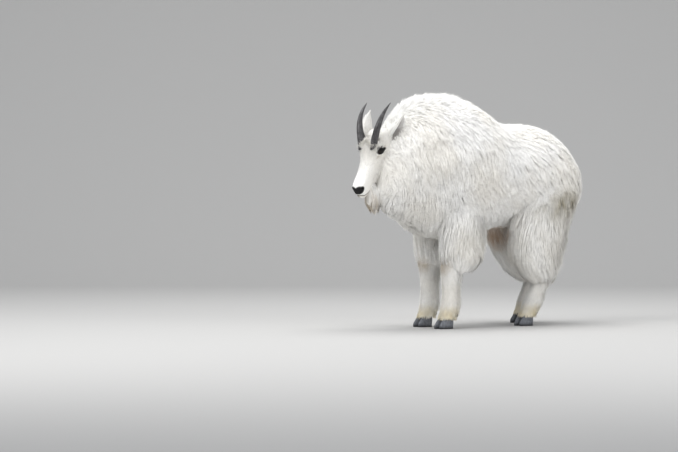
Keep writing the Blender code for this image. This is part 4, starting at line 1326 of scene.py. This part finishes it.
def claw_mesh(x, y, half):
    """One half of a cloven hoof, flat below, with a rounded toe."""
    # height, half length, half width, how far back
    levels = (
        (0.000, 0.0370, 0.0146, 0.000),
        (0.002, 0.0388, 0.0156, 0.000),
        (0.010, 0.0385, 0.0160, -0.001),
        (0.030, 0.0345, 0.0155, 0.006),
        (0.0425, 0.0300, 0.0148, 0.011),
        (0.050, 0.0250, 0.0125, 0.014),
    )
    turns = turns_of(36)
    rings = []
    for z in (0.0, 0.001, 0.002, 0.005, 0.010, 0.016, 0.022, 0.028, 0.034, 0.040, 0.045, 0.050):
        _, long, wide, behind = through(levels, z)
        narrow = 1 - 0.38 * np.clip(-np.cos(turns), 0, 1) ** 2
        grow = 1 + 0.012 * sin(z * 900)
        along = x + behind + long * grow * rounded(np.cos(turns), 2.4)
        aside = y + half * (wide + 0.0025) + wide * grow * rounded(np.sin(turns), 2.4) * narrow
        rings.append(np.stack([along, aside, np.full(36, z)], 1))
    return loft(rings)


def dewclaw_mesh(x, y, z):
    """A blunt spur behind the pastern, pointing back and down."""
    rings = []
    turns = turns_of(20)
    along = np.array((0.030, 0, -0.018))
    unit = along / np.linalg.norm(along)
    up = np.cross(unit, (0, 1, 0))
    for share in np.linspace(-0.2, 1, 14):
        radius = 0.0098 * (1 - max(share, 0) ** 2.5) ** 0.5 + 0.0015
        centre = np.array((x, y, z)) + along * share
        ring = np.outer(np.cos(turns), (0, 1, 0)) + np.outer(np.sin(turns), up)
        rings.append(centre + radius * ring)
    return loft(rings)


def eye_mesh(side):
    """An eyeball with its iris and pupil marked, looking out to the side and a little ahead."""
    mesh = ball((0, 0, 0), (EYE_RADIUS,) * 3, None, 64)
    gaze = Vector((0.32, side * 0.94, 0.06)).normalized()
    count = len(mesh.vertices)
    points = np.empty(count * 3, np.float32)
    mesh.vertices.foreach_get("co", points)
    unit = points.reshape(-1, 3) / EYE_RADIUS
    facing = unit @ np.array(gaze)
    # the cornea stands a little proud of the ball
    unit = unit * (1 + 0.05 * np.clip((facing - 0.72) / 0.28, 0, 1) ** 0.7)[:, None]
    mesh.vertices.foreach_set("co", (unit * EYE_RADIUS).astype(np.float32).ravel())
    level = np.cross((0, 0, 1), np.array(gaze))
    level /= np.linalg.norm(level)
    over = np.cross(np.array(gaze), level)
    bar = (np.abs(unit @ level) / 0.34) ** 4 + (np.abs(unit @ over) / 0.14) ** 4 < 1
    colours = np.ones((count, 4), np.float32)
    colours[:, :3] = np.array(linear("#120D0B"))
    iris = facing > 0.72
    colours[iris, :3] = np.array(linear("#21140C"))
    colours[bar & iris, :3] = np.array(linear("#050404"))
    paint = mesh.color_attributes.new("iris", "FLOAT_COLOR", "POINT")
    paint.data.foreach_set("color", colours.ravel())
    mesh.transform(HEAD_AXES @ Matrix.Translation(EYE_PLACE[side]))
    return mesh


def separate(name, mesh, finishes, slot, node):
    """Adds a piece that stands for one of the goat's hard parts."""
    mesh.transform(Matrix.Translation(-CENTRE))
    mesh.polygons.foreach_set("use_smooth", np.ones(len(mesh.polygons), bool))
    mesh.materials.clear()
    mesh.materials.append(finishes[slot])
    mesh.set_sharp_from_angle(angle=radians(50))
    piece = placed(name, mesh)
    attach(piece, "root")
    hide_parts(node)


# Putting the goat together


def portions(tufts):
    """The tufts of a group in portions, each small enough for one piece of the coat."""
    found, waiting, total = [], [], 0
    for sort in tufts.sets:
        paths = sort[0]
        each = 6 * (paths.shape[1] - 2) + 4
        order = np.random.default_rng(3).permutation(len(paths))
        most = MOST_TRIANGLES // each
        for start in range(0, len(paths), most):
            chosen = order[start : start + most]
            if total + len(chosen) * each > MOST_TRIANGLES:
                found.append(waiting)
                waiting, total = [], 0
            waiting.append(tuple(array[chosen] for array in sort))
            total += len(chosen) * each
    return [*found, waiting]


def build_goat():
    hair, hide = winter_hair(), short_hair()
    skin = build_skin()
    skin.data.materials.clear()
    skin.data.materials.append(hide)
    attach(skin, "root")
    flesh = ["head", "beard", "ear_left", "ear_right", "neck", "shoulders", "barrel", "rump", "tail"]
    flesh += [f"{leg}_{part}" for leg in LEGS for part in ("upper", "lower")]
    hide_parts(*flesh)

    share = 1.0
    groups = {"body": Tufts(), "legs": Tufts(), "face": Tufts()}
    trunk_tufts(groups["body"], int(122000 * share))
    for slot, (name, (side, steps)) in enumerate(LEGS.items()):
        leg_tufts(groups["legs"], name, side, steps, slot, int((8500 if slot < 2 else 13000) * share))
        shank_tufts(groups["legs"], name, side, steps, slot, int(4200 * share))
    hanging_tufts(groups["face"], BEARD, 0, int(2400 * share), 0.085, 0.010)
    hanging_tufts(groups["legs"], TAIL, 1, int(2200 * share), 0.100, 0.012)
    face_tufts(groups["face"], int(36000 * share))
    ruff_tufts(groups["face"], int(13000 * share))
    for slot, side in enumerate((1, -1)):
        ear_tufts(groups["face"], side, slot, int(2600 * share))
        ear_lining(groups["face"], side, slot, int(900 * share))
        crown_tufts(groups["face"], side, slot, int(1900 * share))
    number = 1
    for name, tufts in groups.items():
        for sets in portions(tufts):
            piece = coat_piece(f"coat_{name}_{number}", sets, hair)
            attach(piece, "root")
            number += 1

    finishes = {"horn": horn_finish(), "hoof": hoof_finish(), "eye": eye_finish()}
    for name, side in (("left", 1), ("right", -1)):
        separate(f"ringed_horn_{name}", horn_mesh(side), finishes, "horn", f"horn_{name}")
        separate(f"eyeball_{name}", eye_mesh(side), finishes, "eye", f"eye_{name}")
    for leg, (side, steps) in LEGS.items():
        _, lower = tables_of(leg)
        foot_x = lower[-1][1] + steps[0][1] - 0.016
        foot_y = side * lower[-1][2]
        for half in (1, -1):
            where = "outer" if half * side < 0 else "inner"
            claw = claw_mesh(foot_x, foot_y, half)
            separate(f"{leg}_hoof_{where}", claw, finishes, "hoof", f"{leg}_claw_{where}")
            dewclaw = dewclaw_mesh(foot_x + 0.040, foot_y + half * 0.017, 0.074)
            separate(f"{leg}_spur_{where}", dewclaw, finishes, "hoof", f"{leg}_dewclaw_{where}")


# Floor, light and camera


def studio():
    """A pale floor that curves up behind the goat, and broad soft lamps."""
    scene = bpy.context.scene
    points = []
    turn = Matrix.Rotation(VIEW_AZIMUTH, 3, "Z")
    profile = [(-14.0, 0.0), (4.5, 0.0)]
    profile += [(4.5 + 3.0 * sin(a), 3.0 - 3.0 * cos(a)) for a in np.linspace(0.1, pi / 2, 14)]
    profile += [(7.5, 9.0)]
    for across in (-16.0, 16.0):
        points += [turn @ Vector((across, back, up)) for back, up in profile]
    rows = len(profile)
    faces = [(i, i + 1, rows + i + 1, rows + i) for i in range(rows - 1)]
    mesh = bpy.data.meshes.new("pale floor")
    mesh.from_pydata(points, [], faces)
    mesh.polygons.foreach_set("use_smooth", np.ones(len(faces), bool))
    material, _, shader = finish_of("pale matt paint", Roughness=0.85)
    shader.inputs["Base Color"].default_value = (*linear("#B9B8B6"), 1)
    mesh.materials.append(material)
    placed("pale_floor", mesh)

    world = bpy.data.worlds.new("soft room")
    scene.world = world
    world.use_nodes = True
    glow = world.node_tree.nodes["Background"]
    glow.inputs["Color"].default_value = (*linear("#F2F5FA"), 1)
    glow.inputs["Strength"].default_value = 0.68
    scene.view_settings.view_transform = "Standard"
    camera_way = Vector((sin(VIEW_AZIMUTH), -cos(VIEW_AZIMUTH), 0))
    right = Vector((cos(VIEW_AZIMUTH), sin(VIEW_AZIMUTH), 0))
    # name, place, width in metres, watts
    lamps = (
        ("key", camera_way * 3.2 - right * 3.4 + Vector((0, 0, 4.2)), 3.4, 178),
        ("fill", camera_way * 4.0 + right * 4.2 + Vector((0, 0, 2.4)), 3.5, 115),
        ("top", camera_way * -0.6 + Vector((0, 0, 5.2)), 3.6, 190),
    )
    for name, place, size, power in lamps:
        light = bpy.data.lights.new(name, "AREA")
        light.size = size
        light.energy = power
        lamp = bpy.data.objects.new(name, light)
        lamp.location = place
        lamp.rotation_mode = "QUATERNION"
        lamp.rotation_quaternion = (Vector((0, 0, 0.55)) - place).to_track_quat("-Z", "Y")
        scene.collection.objects.link(lamp)


def camera():
    """Straight across from the goat's left front, a little above its middle."""
    height = radians(1.5)
    right = Vector((cos(VIEW_AZIMUTH), sin(VIEW_AZIMUTH), 0))
    back = Vector((sin(VIEW_AZIMUTH) * cos(height), -cos(VIEW_AZIMUTH) * cos(height), sin(height)))
    distance = 18.0
    aside = (PHOTO_MIDDLE - GOAT_MIDDLE) * METRES_PER_PIXEL
    target = right * aside + Vector((0, 0, 0.465)) - CENTRE
    lens = bpy.data.cameras.new("camera")
    lens.sensor_width = 36
    lens.lens = lens.sensor_width * distance / (PHOTO_WIDTH * METRES_PER_PIXEL)
    lens.clip_end = 200
    seen = bpy.data.objects.new("camera", lens)
    place = Matrix((right, back.cross(right), back)).transposed().to_4x4()
    place.translation = target + back * distance
    seen.matrix_world = place
    bpy.context.scene.collection.objects.link(seen)
    bpy.context.scene.camera = seen


camera()
studio()
build_goat()
